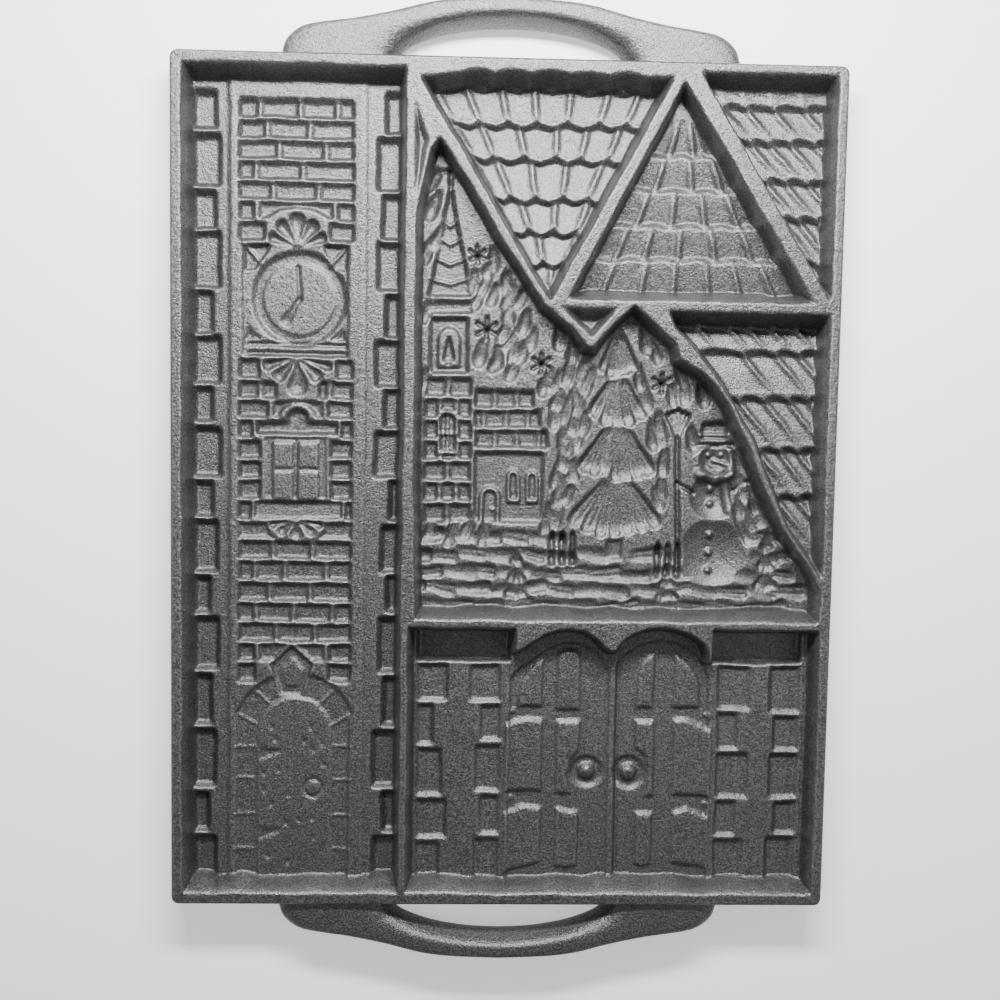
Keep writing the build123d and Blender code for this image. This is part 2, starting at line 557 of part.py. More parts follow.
def build_doors():
    """Floor panels of the door compartment: two stone walls and two arched door leaves."""
    stones_left, leaves_split, stones_right = 0.6, 45.6, 84.4
    whole = prism(DOORS_FOOT, 0.0, FLOOR)
    low, high = -160.0, -50.0
    joint_depth, lintel_depth = 1.8, 3.2

    def stone_wall(x0, x1, first, last, left_column, right_column):
        """A floor panel with two columns of stones under a sunk lintel.

        A stone is (top, bottom, x): x is where it ends towards the joint in the middle.
        """
        wall = whole & stretch_of(x0, x1, low, high)
        tools = [recess(rectangle(first, x, bottom, top), joint_depth) for top, bottom, x in left_column]
        tools += [recess(rectangle(x, last, bottom, top), joint_depth) for top, bottom, x in right_column]
        tools.append(stretch_of(first + 0.4, last, -67.2, high, FLOOR - lintel_depth))
        return wall - tools

    left_column = [
        (-68.6, -83.6, -20.6), (-84.8, -101.0, -26.0), (-102.4, -121.6, -22.6),
        (-122.8, -138.4, -20.6), (-139.8, -153.6, -23.4),
    ]
    right_column = [
        (-68.6, -83.6, -13.0), (-84.8, -99.0, -8.7), (-100.6, -120.0, -10.6),
        (-121.4, -137.0, -8.6), (-138.4, -153.6, -11.0),
    ]
    wall = stone_wall(-40.0, stones_left, -33.4, stones_left - 0.6, left_column, right_column)
    save("left_stone_wall", wall)

    left_column = [
        (-68.6, -86.0, 99.2), (-87.2, -102.2, 94.6), (-103.4, -121.8, 99.2),
        (-123.0, -137.4, 94.6), (-138.6, -153.6, 98.0),
    ]
    right_column = [
        (-68.6, -87.4, 105.8), (-88.6, -102.4, 107.8), (-103.6, -122.0, 106.6),
        (-123.2, -136.2, 108.8), (-137.4, -153.6, 106.0),
    ]
    wall = stone_wall(stones_right, 130.0, stones_right + 0.8, 118.6, left_column, right_column)
    save("right_stone_wall", wall)

    def leaf(x0, x1, planks, straps, ring):
        """One door leaf: raised planks, hinge straps across them and a ring to pull."""
        base = whole & stretch_of(x0, x1, low, high, -1.0, DOOR_FLOOR)
        tools = [recess(strap, 1.3, surface=DOOR_FLOOR, run=0.5) for strap in straps]
        plates = [pad(plank, surface=DOOR_FLOOR) for plank in planks]
        return (base - tools) + plates - ring_groove(*ring, DOOR_FLOOR - 1.2)

    arch_left = [(6.6, -86.0), (16.7, -86.0), (16.7, -65.0), (12.6, -67.6), (9.2, -71.4), (7.0, -76.6)]
    arch_round = [(21.6, -87.6), (31.8, -87.6)] + arc_points(26.7, -66.4, 5.1, 0.0, 180.0, 7)
    planks = [
        arch_left, arch_round,
        rectangle(2.0, 16.7, -120.2, -94.2), rectangle(21.6, 31.8, -104.6, -93.4),
        rectangle(2.0, 16.7, -147.2, -129.8), rectangle(21.6, 31.8, -149.4, -128.4),
    ]
    straps = [
        [(1.2, -93.4), (9.0, -91.0), (16.7, -91.0), (16.7, -87.0), (4.0, -86.4)],
        rectangle(21.6, 31.8, -92.6, -88.4),
        [(2.0, -129.0), (9.0, -125.4), (16.7, -126.4), (16.7, -121.6), (4.0, -120.8)],
        rectangle(21.6, 31.8, -127.6, -122.4),
    ]
    save("left_door_leaf", leaf(stones_left, leaves_split, planks, straps, (34.3, -111.7, 6.3, 2.9)))

    arch_left = [(53.4, -85.2), (60.8, -85.2), (60.8, -63.0), (56.4, -64.6), (53.4, -70.0)]
    arch_right = [(68.0, -85.2), (79.0, -85.2), (79.0, -74.6), (75.6, -67.6), (68.0, -63.2)]
    planks = [
        arch_left, arch_right,
        rectangle(58.8, 61.2, -121.6, -92.6), rectangle(68.4, 79.0, -121.6, -95.8),
        rectangle(54.2, 61.2, -148.4, -129.6), rectangle(69.2, 79.0, -147.4, -130.6),
    ]
    straps = [
        rectangle(53.4, 61.2, -92.0, -86.2),
        [(68.4, -91.0), (74.0, -90.4), (83.2, -95.2), (82.0, -86.4), (68.4, -86.0)],
        rectangle(54.2, 61.2, -129.2, -123.4),
        [(69.2, -128.0), (76.0, -126.4), (83.2, -130.0), (81.6, -122.6), (69.2, -122.6)],
    ]
    save("right_door_leaf", leaf(leaves_split, stones_right, planks, straps, (51.1, -112.0, 6.6, 2.9)))


def build_scene():
    """Floor panels of the winter scene: chapel, fir tree and snowman, sunk as main forms."""
    whole = prism(SCENE_FOOT, 0.0, FLOOR)
    low, high = -60.0, 140.0
    chapel_right, tree_right = 18.6, 66.4

    chapel = whole & stretch_of(-40.0, chapel_right, low, high)
    tools = [
        recess([(-30.0, 74.0), (-15.0, 74.0), (-22.5, 118.0)], 2.4, run=1.2),
        recess(rectangle(-31.0, -14.0, 68.6, 73.2), 1.6, run=0.5),
        recess(rectangle(-29.6, -15.4, 44.0, 67.8), 2.2, run=0.8),
        recess(rectangle(-31.4, -13.6, -13.0, 42.8), 2.6, run=0.8),
        recess([(-12.8, 16.4), (17.6, 16.4), (9.0, 38.0), (-12.8, 38.0)], 2.4, run=0.8),
        recess(rectangle(-12.8, 14.8, -13.0, 15.4), 1.8, run=0.8),
    ]
    save("scene_chapel", chapel - tools)

    tree = whole & stretch_of(chapel_right, tree_right, low, high)
    cx = 43.4
    tools = []
    for tip, base, half in ((63.0, 43.0, 8.4), (46.0, 25.0, 13.0), (28.6, 5.0, 17.2), (9.0, -17.6, 21.0)):
        shape = [(cx - half, base), (cx, base - 1.6), (cx + half, base), (cx + 2.2, tip), (cx - 2.2, tip)]
        tools.append(recess(shape, 2.4, run=0.9))
    tools.append(recess(rectangle(cx - 3.2, cx + 3.2, -27.0, -18.6), 1.8, run=0.5))
    save("scene_fir_tree", tree - tools)

    man = whole & stretch_of(tree_right, 130.0, low, high)
    cx = 82.0
    tools = []
    for cy, radius in ((-23.0, 12.6), (-1.6, 8.4), (11.8, 4.9)):
        tools.append(recess(arc_points(cx, cy, radius, 0.0, 340.0, 18), 2.8, run=radius * 0.35))
    tools.append(recess(rectangle(cx - 8.4, cx + 7.6, 17.4, 19.2), 2.2, run=0.4))
    tools.append(recess(rectangle(cx - 5.2, cx + 3.6, 19.8, 25.4), 2.6, run=0.6))
    tools.append(recess([(97.6, -38.0), (110.0, -38.0), (103.4, -13.6)], 2.0, run=0.8))
    save("scene_snowman", man - tools)


def smooth(points, steps):
    """Catmull-Rom curve through the points, with this many steps between two of them."""
    ends = [points[0]] + points + [points[-1]]
    curve = []
    for p0, p1, p2, p3 in zip(ends, ends[1:], ends[2:], ends[3:]):
        for i in range(steps):
            t = i / steps
            curve.append(tuple(
                0.5 * (2 * b + (c - a) * t + (2 * a - 5 * b + 4 * c - d) * t**2
                       + (3 * b - a - 3 * c + d) * t**3)
                for a, b, c, d in zip(p0, p1, p2, p3)
            ))
    return curve + [points[-1]]


def mirrored(half_curve):
    """Close a half outline, which runs from its root to its middle, with its mirror image."""
    return half_curve + [(-x, y) for x, y in half_curve[-2::-1]]


def build_handles():
    """The two loop handles: D-section bars that widen into flat ears on the rim."""
    root = -6.0
    outline = [(86.0, 0.0), (84.0, 6.0), (76.0, 10.6), (60.0, 13.6), (44.0, 17.0), (22.0, 21.8)]
    curve = smooth(outline + [(0.0, HANDLE_REACH)], 3)
    outer = mirrored([(86.0, root)] + curve)
    curve = smooth([(42.5, 0.0), (36.0, 5.0), (25.0, 9.6), (12.0, 12.0), (0.0, 12.6)], 3)
    hole = mirrored([(42.5, root)] + curve)
    draft = 4.4
    shoulder = HANDLE_FRONT - 4.0

    def at_end(points, side):
        shift = -0.6
        moved = [(shift + x, side * (LENGTH / 2 + y)) for x, y in points]
        return moved if side > 0 else moved[::-1]

    for name, side in (("top_handle", 1), ("bottom_handle", -1)):
        back = at_end(outer, side)
        middle = inset(back, lambda nx, ny: 0.5)
        front = inset(back, lambda nx, ny: 2.6)
        bar = frustum(back, HANDLE_BACK, middle, shoulder) + frustum(middle, shoulder, front, HANDLE_FRONT)
        mouth = at_end(hole, side)
        share = 1.0 / (HANDLE_FRONT - HANDLE_BACK)
        deep = inset(mouth, lambda nx, ny: draft * share)
        wide = inset(mouth, lambda nx, ny: -draft * (1 + share))
        finger_hole = frustum(deep, HANDLE_BACK - 1.0, wide, HANDLE_FRONT + 1.0)
        beyond = side * LENGTH / 2
        y0, y1 = sorted((beyond, beyond + side * 60.0))
        keep = prism(rectangle(-WIDTH, WIDTH, y0, y1), -1.0, THICKNESS)
        save(name, (bar - finger_hole) & keep)


build_ridges()
build_tower()
build_roofs()
build_scene()
build_doors()
build_handles()
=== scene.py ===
"""Looks of the cast-iron gingerbread mold, laid over its CAD frame.

The face of the mold is one casting, so it is drawn as one relief: a height over the plan, kept
on a square grid. Each sub-assembly (rim and ridges, tower, roofs, corners, doors, winter scene)
presses its own shapes into that relief. The relief is then cut along the CAD nodes into one
closed piece per node, and the two loop handles are added as bars carried along curves.

Lengths of the drawing are in mm on the CAD frame: X across, Y towards the roofs, Z out of the
face, with the flat back at Z 0. They become metres only when a mesh is made.
"""

from __future__ import annotations

import logging
import math
from collections.abc import Sequence
from dataclasses import dataclass, field
from enum import Enum
from typing import NamedTuple

import bpy
import numpy as np
from mathutils import Matrix, Vector

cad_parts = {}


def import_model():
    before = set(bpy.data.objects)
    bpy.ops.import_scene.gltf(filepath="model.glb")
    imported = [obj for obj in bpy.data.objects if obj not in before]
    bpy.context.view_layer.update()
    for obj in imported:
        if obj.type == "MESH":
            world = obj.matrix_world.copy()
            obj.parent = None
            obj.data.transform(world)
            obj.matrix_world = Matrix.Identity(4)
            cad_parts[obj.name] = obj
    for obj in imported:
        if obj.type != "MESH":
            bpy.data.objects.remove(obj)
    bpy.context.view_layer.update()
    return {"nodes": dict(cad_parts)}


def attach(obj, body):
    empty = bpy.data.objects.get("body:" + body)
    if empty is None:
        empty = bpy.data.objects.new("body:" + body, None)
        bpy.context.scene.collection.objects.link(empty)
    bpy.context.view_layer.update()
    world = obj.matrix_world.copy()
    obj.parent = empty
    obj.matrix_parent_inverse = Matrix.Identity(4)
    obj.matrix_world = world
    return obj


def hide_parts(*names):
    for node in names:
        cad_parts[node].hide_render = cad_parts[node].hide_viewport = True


LOG = logging.getLogger("gingerbread_mold")
MM = 0.001

Array = np.ndarray
Point = tuple[float, float]
Outline = Sequence[Point]


class MoldEnd(Enum):
    """The two ends that carry a handle; the value is the way Y runs there."""

    ROOFS = 1.0
    DOORS = -1.0


class FanFacing(Enum):
    """Which way a fan ornament opens; the value is the way Y runs there."""

    UP = 1.0
    DOWN = -1.0


class TileEnd(Enum):
    """Which end of a roof tile lies deepest; the value is the way Y runs there."""

    TOP = 1.0
    BOTTOM = -1.0


# Exponent of a pressed side's easing, and what a side at the bottom end of its shape adds to it
SIDE_EASE = 1.3
BOTTOM_EASE = 0.9


@dataclass(frozen=True)
class Slopes:
    """Runs of a pressed shape's sides in plan, by the way the side looks from the shape."""

    top: float
    side: float
    bottom: float

    def rise(self, distance: Array, outward_y: float) -> Array:
        """Rise of a sand-cast side, steep at its lip and easing into the bed.

        The rise is 1 - (1 - d / run)^ease. A side at the bottom end, which looks up at the roofs,
        has the larger ease and so the widest foot.

        Args:
            distance: Distance of each place inwards from the side's edge, in mm.
            outward_y: Y share of the direction out of the shape.

        Returns:
            A value per place, from 0 at the edge to 1 on the bed.
        """
        up, down = max(0.0, outward_y), max(0.0, -outward_y)
        run = self.side + (self.top - self.side) * up + (self.bottom - self.side) * down
        return 1.0 - (1.0 - np.clip(distance / run, 0.0, 1.0)) ** (SIDE_EASE + BOTTOM_EASE * down)


# Sides of bricks and other plain pockets, of corner stones and of levelled ground
POCKET = Slopes(top=1.9, side=1.6, bottom=2.0)
STONE = Slopes(top=2.6, side=2.0, bottom=2.1)
SOFT = Slopes(top=1.2, side=1.0, bottom=1.4)


class Edge(NamedTuple):
    """One edge of a counter-clockwise outline, with the unit normal that points inwards."""

    start: Point
    end: Point
    normal: Point

    @property
    def outward_y(self) -> float:
        """Y share of the direction out of the outline."""
        return -self.normal[1]


def smoothstep(t: Array) -> Array:
    """3 t^2 - 2 t^3 with t held between 0 and 1."""
    t = np.clip(t, 0.0, 1.0)
    return t * t * (3.0 - 2.0 * t)


def soft_ramp(t: Array, radius: float) -> Array:
    """Ramp that is 0 below and t above, joined by the parabola (t + r)^2 / 4r over -r..r."""
    middle = (t + radius) ** 2 / (4.0 * radius)
    return np.where(t < -radius, 0.0, np.where(t > radius, t, middle))


def lattice_noise(x: Array, y: Array, cell: float, seed: int) -> Array:
    """Smooth noise in -1..1: random values on a lattice, blended with the smoothstep.

    Args:
        x: Places across, in mm.
        y: Places along, in mm.
        cell: Lattice spacing in mm.
        seed: Picks the lattice's values.

    Returns:
        One value per place.
    """
    u, v = (x + 300.0) / cell, (y + 300.0) / cell
    count = int(600.0 / cell) + 3
    table = np.random.default_rng(seed).uniform(-1.0, 1.0, (count, count))
    i, j = np.floor(u).astype(int), np.floor(v).astype(int)
    a, b = smoothstep(u - i), smoothstep(v - j)
    near = table[j, i] * (1.0 - a) + table[j, i + 1] * a
    far = table[j + 1, i] * (1.0 - a) + table[j + 1, i + 1] * a
    return near * (1.0 - b) + far * b


def edges_of(outline: Outline) -> list[Edge]:
    """The edges of a counter-clockwise outline.

    Args:
        outline: The outline's corners.

    Returns:
        One edge per corner, in order.
    """
    found = []
    for start, end in zip(outline, [*outline[1:], outline[0]]):
        dx, dy = end[0] - start[0], end[1] - start[1]
        length = math.hypot(dx, dy)
        found.append(Edge(start, end, (-dy / length, dx / length)))
    return found


def counter_clockwise(outline: Outline) -> list[Point]:
    """The outline, turned round if it runs clockwise.

    Args:
        outline: An outline in either direction.

    Returns:
        Its corners, counter-clockwise.
    """
    closed = list(outline) + [outline[0]]
    area = sum(a[0] * b[1] - b[0] * a[1] for a, b in zip(closed, closed[1:]))
    return list(outline) if area > 0 else list(outline)[::-1]


def rectangle(x0: float, x1: float, y0: float, y1: float) -> list[Point]:
    """Counter-clockwise corners of a rectangle."""
    return [(x0, y0), (x1, y0), (x1, y1), (x0, y1)]


def arc(cx: float, cy: float, radius: float, start: float, end: float, count: int) -> list[Point]:
    """Points on a circle from one angle in degrees to another."""
    angles = [math.radians(start + (end - start) * i / (count - 1)) for i in range(count)]
    return [(cx + radius * math.cos(a), cy + radius * math.sin(a)) for a in angles]


def arched(cx: float, half: float, foot: float, spring: float, count: int = 9) -> list[Point]:
    """Outline of an upright shape with a round top, `half` being half its width."""
    return [(cx - half, foot), (cx + half, foot)] + arc(cx, spring, half, 0.0, 180.0, count)


def smooth_curve(points: Outline, steps: int) -> list[Point]:
    """Catmull-Rom curve through the points with this many steps between two of them.

    Args:
        points: Points that the curve runs through.
        steps: Steps between two of them.

    Returns:
        The points of the curve.
    """
    ends = [points[0], *points, points[-1]]
    curve = []
    for p0, p1, p2, p3 in zip(ends, ends[1:], ends[2:], ends[3:]):
        for i in range(steps):
            t = i / steps
            curve.append(tuple(
                0.5 * (2 * b + (c - a) * t + (2 * a - 5 * b + 4 * c - d) * t**2
                       + (3 * b - a - 3 * c + d) * t**3)
                for a, b, c, d in zip(p0, p1, p2, p3)
            ))
    return curve + [tuple(points[-1])]


def convex_share(x: Array, y: Array, outline: Outline, slopes: Slopes) -> Array:
    """How far inside a convex outline each place lies, from 0 at its edge to 1 on its bed.

    The share is the product over the edges of their eased sides, which rounds the corners in
    plan the way sand does.

    Args:
        x: Places across, in mm.
        y: Places along, in mm.
        outline: A counter-clockwise outline without inward corners.
        slopes: Runs of its sides.

    Returns:
        The share per place.
    """
    share = np.ones_like(x)
    for edge in edges_of(outline):
        (x0, y0), (nx, ny) = edge.start, edge.normal
        share *= slopes.rise(nx * (x - x0) + ny * (y - y0), edge.outward_y)
    return share


def segment_distance(x: Array, y: Array, start: Point, end: Point) -> Array:
    """Distance of each place from a straight stretch.

    Args:
        x: Places across, in mm.
        y: Places along, in mm.
        start: Where the stretch starts.
        end: Where it ends.

    Returns:
        The distance per place, in mm.
    """
    dx, dy = end[0] - start[0], end[1] - start[1]
    along = ((x - start[0]) * dx + (y - start[1]) * dy) / max(dx * dx + dy * dy, 1e-9)
    along = np.clip(along, 0.0, 1.0)
    return np.hypot(x - start[0] - along * dx, y - start[1] - along * dy)


def inside_outline(x: Array, y: Array, outline: Outline) -> Array:
    """True where a place lies inside an outline of any shape (even-odd rule).

    Args:
        x: Places across, in mm.
        y: Places along, in mm.
        outline: The outline, in either direction.

    Returns:
        A truth value per place.
    """
    inside = np.zeros(x.shape, bool)
    for (x0, y0), (x1, y1) in zip(outline, [*outline[1:], outline[0]]):
        if y0 == y1:
            continue
        crosses = (y0 > y) != (y1 > y)
        inside ^= crosses & (x < x0 + (x1 - x0) * (y - y0) / (y1 - y0))
    return inside


def any_share(x: Array, y: Array, outline: Outline, slopes: Slopes) -> Array:
    """Like convex_share for an outline of any shape: the least eased side over its edges.

    Args:
        x: Places across, in mm.
        y: Places along, in mm.
        outline: A counter-clockwise outline.
        slopes: Runs of its sides.

    Returns:
        The share per place, 0..1.
    """
    share = np.ones_like(x)
    for edge in edges_of(outline):
        distance = segment_distance(x, y, edge.start, edge.end)
        share = np.minimum(share, slopes.rise(distance, edge.outward_y))
    return np.where(inside_outline(x, y, outline), share, 0.0)


@dataclass
class Patch:
    """A rectangular window of the relief; its arrays are views into the whole."""

    x: Array
    y: Array
    z: Array
    floor: Array


@dataclass
class Relief:
    """Height of the mold's face over its plan, on a square grid.

    Attributes:
        width: Size of the face across, in mm.
        length: Size of the face along, in mm.
        thickness: Height of the rim plane over the back, in mm.
        pitch: Grid spacing, in mm.
        corner_radius: Radius of the face's corners in plan, in mm.
        edge_radius: Radius of the face's outer edge in section, in mm.
        wander: How far lines drawn straight wander, in mm, as the wooden pattern was hand cut.
    """

    width: float = 254.0
    length: float = 324.0
    thickness: float = 16.0
    pitch: float = 0.4
    corner_radius: float = 3.0
    edge_radius: float = 1.0
    wander: float = 0.28

    def __post_init__(self) -> None:
        """Lay out the grid, bend it round the corners and start with a flat face."""
        columns, rows = round(self.width / self.pitch) + 1, round(self.length / self.pitch) + 1
        self.xs = np.linspace(-self.width / 2, self.width / 2, columns)
        self.ys = np.linspace(-self.length / 2, self.length / 2, rows)
        grid_x, grid_y = np.meshgrid(self.xs, self.ys)
        self.plan_x, self.plan_y = self.round_corners(grid_x, grid_y)
        self.x = grid_x + self.wander * lattice_noise(grid_x, grid_y, 11.0, 3)
        self.x += 0.6 * self.wander * lattice_noise(grid_x, grid_y, 3.1, 4)
        self.y = grid_y + self.wander * lattice_noise(grid_x, grid_y, 10.0, 5)
        self.y += 0.6 * self.wander * lattice_noise(grid_x, grid_y, 2.9, 6)
        self.z = np.full(grid_x.shape, self.thickness)
        self.floor = np.zeros(grid_x.shape)

    def round_corners(self, x: Array, y: Array) -> tuple[Array, Array]:
        """Bend the square corners of the grid to arcs.

        In each corner square of side r, with a and b the place's shares of r, the place moves
        to a sqrt(1 - b^2 / 2), b sqrt(1 - a^2 / 2), which carries the square to a quarter disc.

        Args:
            x: Places across on the square grid, in mm.
            y: Places along on it, in mm.

        Returns:
            The moved places, across and along.
        """
        radius = self.corner_radius
        inner_x, inner_y = self.width / 2 - radius, self.length / 2 - radius
        a = np.clip((np.abs(x) - inner_x) / radius, 0.0, 1.0)
        b = np.clip((np.abs(y) - inner_y) / radius, 0.0, 1.0)
        moved_x = np.sign(x) * (inner_x + radius * a * np.sqrt(1.0 - b * b / 2.0))
        moved_y = np.sign(y) * (inner_y + radius * b * np.sqrt(1.0 - a * a / 2.0))
        return np.where(a > 0, moved_x, x), np.where(b > 0, moved_y, y)

    def edge_distance(self) -> Array:
        """Distance of each grid point from the rounded outline of the face.

        Returns:
            The distance per grid point, in mm.
        """
        radius = self.corner_radius
        out_x = np.abs(self.plan_x) - (self.width / 2 - radius)
        out_y = np.abs(self.plan_y) - (self.length / 2 - radius)
        corner = np.hypot(np.maximum(out_x, 0.0), np.maximum(out_y, 0.0))
        return radius - np.maximum(corner, np.maximum(out_x, out_y))

    def round_edge(self) -> None:
        """Take the outer edge off with a quarter round: r - sqrt(r^2 - (r - d)^2)."""
        radius = self.edge_radius
        short = np.clip(radius - self.edge_distance(), 0.0, radius)
        self.z -= radius - np.sqrt(radius * radius - short * short)

    def patch(self, x0: float, x1: float, y0: float, y1: float, margin: float = 1.2) -> Patch:
        """The window of the relief that covers a rectangle and a margin round it.

        Args:
            x0: Left side of the rectangle, in mm.
            x1: Its right side.
            y0: Its lower side.
            y1: Its upper side.
            margin: Width of the margin, in mm.

        Returns:
            The window.
        """
        i0, i1 = np.searchsorted(self.xs, (x0 - margin, x1 + margin))
        j0, j1 = np.searchsorted(self.ys, (y0 - margin, y1 + margin))
        rows, columns = slice(j0, max(j1, j0 + 1)), slice(i0, max(i1, i0 + 1))
        return Patch(self.x[rows, columns], self.y[rows, columns], self.z[rows, columns],
                     self.floor[rows, columns])

    def patch_over(self, points: Outline, margin: float = 1.2) -> Patch:
        """The window of the relief that covers some points and a margin round them."""
        across, along = [p[0] for p in points], [p[1] for p in points]
        return self.patch(min(across), max(across), min(along), max(along), margin)

    def round_patch(self, centre: Point, radius: float) -> tuple[Patch, Array]:
        """The window over a round place, and each place's distance from its centre.

        Args:
            centre: The place's centre.
            radius: Its radius in mm.

        Returns:
            The window and the distances.
        """
        cx, cy = centre
        patch = self.patch(cx - radius, cx + radius, cy - radius, cy + radius)
        return patch, np.hypot(patch.x - cx, patch.y - cy)

    def shape_patch(self, outline: Outline, slopes: Slopes, convex: bool) -> tuple[Patch, Array]:
        """The window over a shape, and how far inside it each place lies, 0..1.

        Args:
            outline: The shape's outline, in either direction.
            slopes: Runs of its sides.
            convex: Whether the outline has no inward corners.

        Returns:
            The window and the shares.
        """
        ring = counter_clockwise(outline)
        patch = self.patch_over(ring)
        share = convex_share if convex else any_share
        return patch, share(patch.x, patch.y, ring, slopes)

    def sink(self, outline: Outline, depth: float, slopes: Slopes = POCKET, convex: bool = True,
             tilt: float = 0.0) -> None:
        """Press a shape into the floor; a negative depth raises it.

        Args:
            outline: The shape's outline, in either direction.
            depth: Depth of its bed in mm.
            slopes: Runs of its sides.
            convex: Whether the outline has no inward corners.
            tilt: How much less deep the bed is at the bottom end than at the top, in mm.
        """
        patch, share = self.shape_patch(outline, slopes, convex)
        low, high = min(p[1] for p in outline), max(p[1] for p in outline)
        bed = depth - tilt * np.clip((high - patch.y) / (high - low), 0.0, 1.0)
        patch.z -= bed * share * patch.floor

    def lobe(self, root: Point, tip: Point, widths: Point, depth: float, base: float = 6.0,
             flutes: float = 0.0, taper: float = 0.5) -> None:
        """Press a rounded lobe; where lobes overlap, the deeper one shows.

        s runs from root to tip and t across. The bed lies at base - depth (0.35 + 0.65 s)
        (1 - t^2 - e^2)^0.7 (1 - 0.25 cos^2(pi flutes t)), e rising to 1 in the round tip, and
        fades in over the first quarter. What stands 1.2 mm over the base, as ridges do, stays.

        Args:
            root: Where the lobe starts.
            tip: Where it ends.
            widths: Its widths at both ends.
            depth: Its depth at the tip.
            base: Height it is measured from.
            flutes: Number of grooves along it.
            taper: Length of its rounded tip in widths.
        """
        dx, dy = tip[0] - root[0], tip[1] - root[1]
        length = math.hypot(dx, dy)
        patch = self.patch_over([root, tip], max(widths) / 2 + 0.6)
        s = ((patch.x - root[0]) * dx + (patch.y - root[1]) * dy) / length**2
        across = ((patch.y - root[1]) * dx - (patch.x - root[0]) * dy) / length
        along = np.clip(s, 0.0, 1.0)
        t = across / ((widths[0] + (widths[1] - widths[0]) * along) / 2)
        cap = min(0.8, taper * widths[1] / length)
        e = np.maximum(s - 1.0 + cap, 0.0) / cap
        body = np.clip(1.0 - t * t - e * e, 0.0, 1.0) ** 0.7 * smoothstep(s / 0.25)
        if flutes:
            body = body * (1.0 - 0.25 * np.cos(math.pi * flutes * np.clip(t, -1.0, 1.0)) ** 2)
        bed = base - depth * (0.35 + 0.65 * along) * body
        near = patch.floor * smoothstep((base + 1.2 - patch.z) / 0.6)
        patch.z += (np.minimum(patch.z, bed) - patch.z) * near

    def level(self, outline: Outline, height: float, slopes: Slopes = SOFT,
              convex: bool = True) -> None:
        """Bring the floor inside a shape to one height, whatever was pressed there before.

        Args:
            outline: The shape's outline, in either direction.
            height: The new height over the back, in mm.
            slopes: Runs of its sides.
            convex: Whether the outline has no inward corners.
        """
        patch, share = self.shape_patch(outline, slopes, convex)
        patch.z += (height - patch.z) * share * patch.floor

    def groove(self, points: Outline, width: float, depth: float, soft: float = 0.5) -> None:
        """Press a groove along a line; a negative depth raises a rib instead.

        Args:
            points: The line's points.
            width: Width of the groove in mm.
            depth: Its depth in mm.
            soft: Run of its sides in mm.
        """
        patch = self.patch_over(points, width / 2 + 1.0)
        distance = np.full(patch.x.shape, 1e9)
        for start, end in zip(points, points[1:]):
            distance = np.minimum(distance, segment_distance(patch.x, patch.y, start, end))
        patch.z -= depth * smoothstep((width / 2 + soft / 2 - distance) / soft) * patch.floor

    def dish(self, centre: Point, radius: float, depth: float, run: float = 0.8) -> None:
        """Press a round flat-bedded dish; a negative depth raises a boss.

        Args:
            centre: The dish's centre.
            radius: Its radius in mm.
            depth: Its depth in mm.
            run: Run of its side in mm.
        """
        patch, distance = self.round_patch(centre, radius)
        patch.z -= depth * smoothstep((radius - distance) / run) * patch.floor

    def ball(self, centre: Point, radius: float, depth: float) -> None:
        """Press a hollow of the form depth (1 - (d / r)^2)^0.8; a negative depth raises a knob.

        Args:
            centre: The hollow's centre.
            radius: Its radius in mm.
            depth: Its depth in mm.
        """
        patch, distance = self.round_patch(centre, radius)
        share = np.clip(1.0 - (distance / radius) ** 2, 0.0, 1.0)
        patch.z -= depth * share**0.8 * patch.floor

    def ring(self, centre: Point, outer: float, inner: float, depth: float,
             run: float = 0.8) -> None:
        """Press a round groove between two radii.

        Args:
            centre: The ring's centre.
            outer: Its outer radius in mm.
            inner: Its inner radius in mm.
            depth: Its depth in mm.
            run: Run of its sides in mm.
        """
        patch, distance = self.round_patch(centre, outer)
        share = smoothstep((outer - distance) / run) * smoothstep((distance - inner) / run)
        patch.z -= depth * share * patch.floor

    def soften(self, times: int = 1) -> None:
        """Round every edge a little, as packed sand does, by the weights 1 2 1 both ways.

        Args:
            times: How many times.
        """
        for _ in range(times):
            wide = np.pad(self.z, ((1, 1), (0, 0)), mode="edge")
            self.z = (wide[:-2] + 2.0 * self.z + wide[2:]) / 4.0
            wide = np.pad(self.z, ((0, 0), (1, 1)), mode="edge")
            self.z = (wide[:, :-2] + 2.0 * self.z + wide[:, 2:]) / 4.0

    def normals(self) -> Array:
        """Unit normals of the relief from its slopes along both axes of the plan.

        Returns:
            One unit normal per grid point.
        """
        du_x, du_y = np.gradient(self.plan_x, axis=1), np.gradient(self.plan_y, axis=1)
        dv_x, dv_y = np.gradient(self.plan_x, axis=0), np.gradient(self.plan_y, axis=0)
        du_z, dv_z = np.gradient(self.z, axis=1), np.gradient(self.z, axis=0)
        along_u = np.stack([du_x, du_y, du_z], -1)
        along_v = np.stack([dv_x, dv_y, dv_z], -1)
        normal = np.cross(along_u, along_v)
        return normal / np.maximum(np.linalg.norm(normal, axis=-1, keepdims=True), 1e-9)


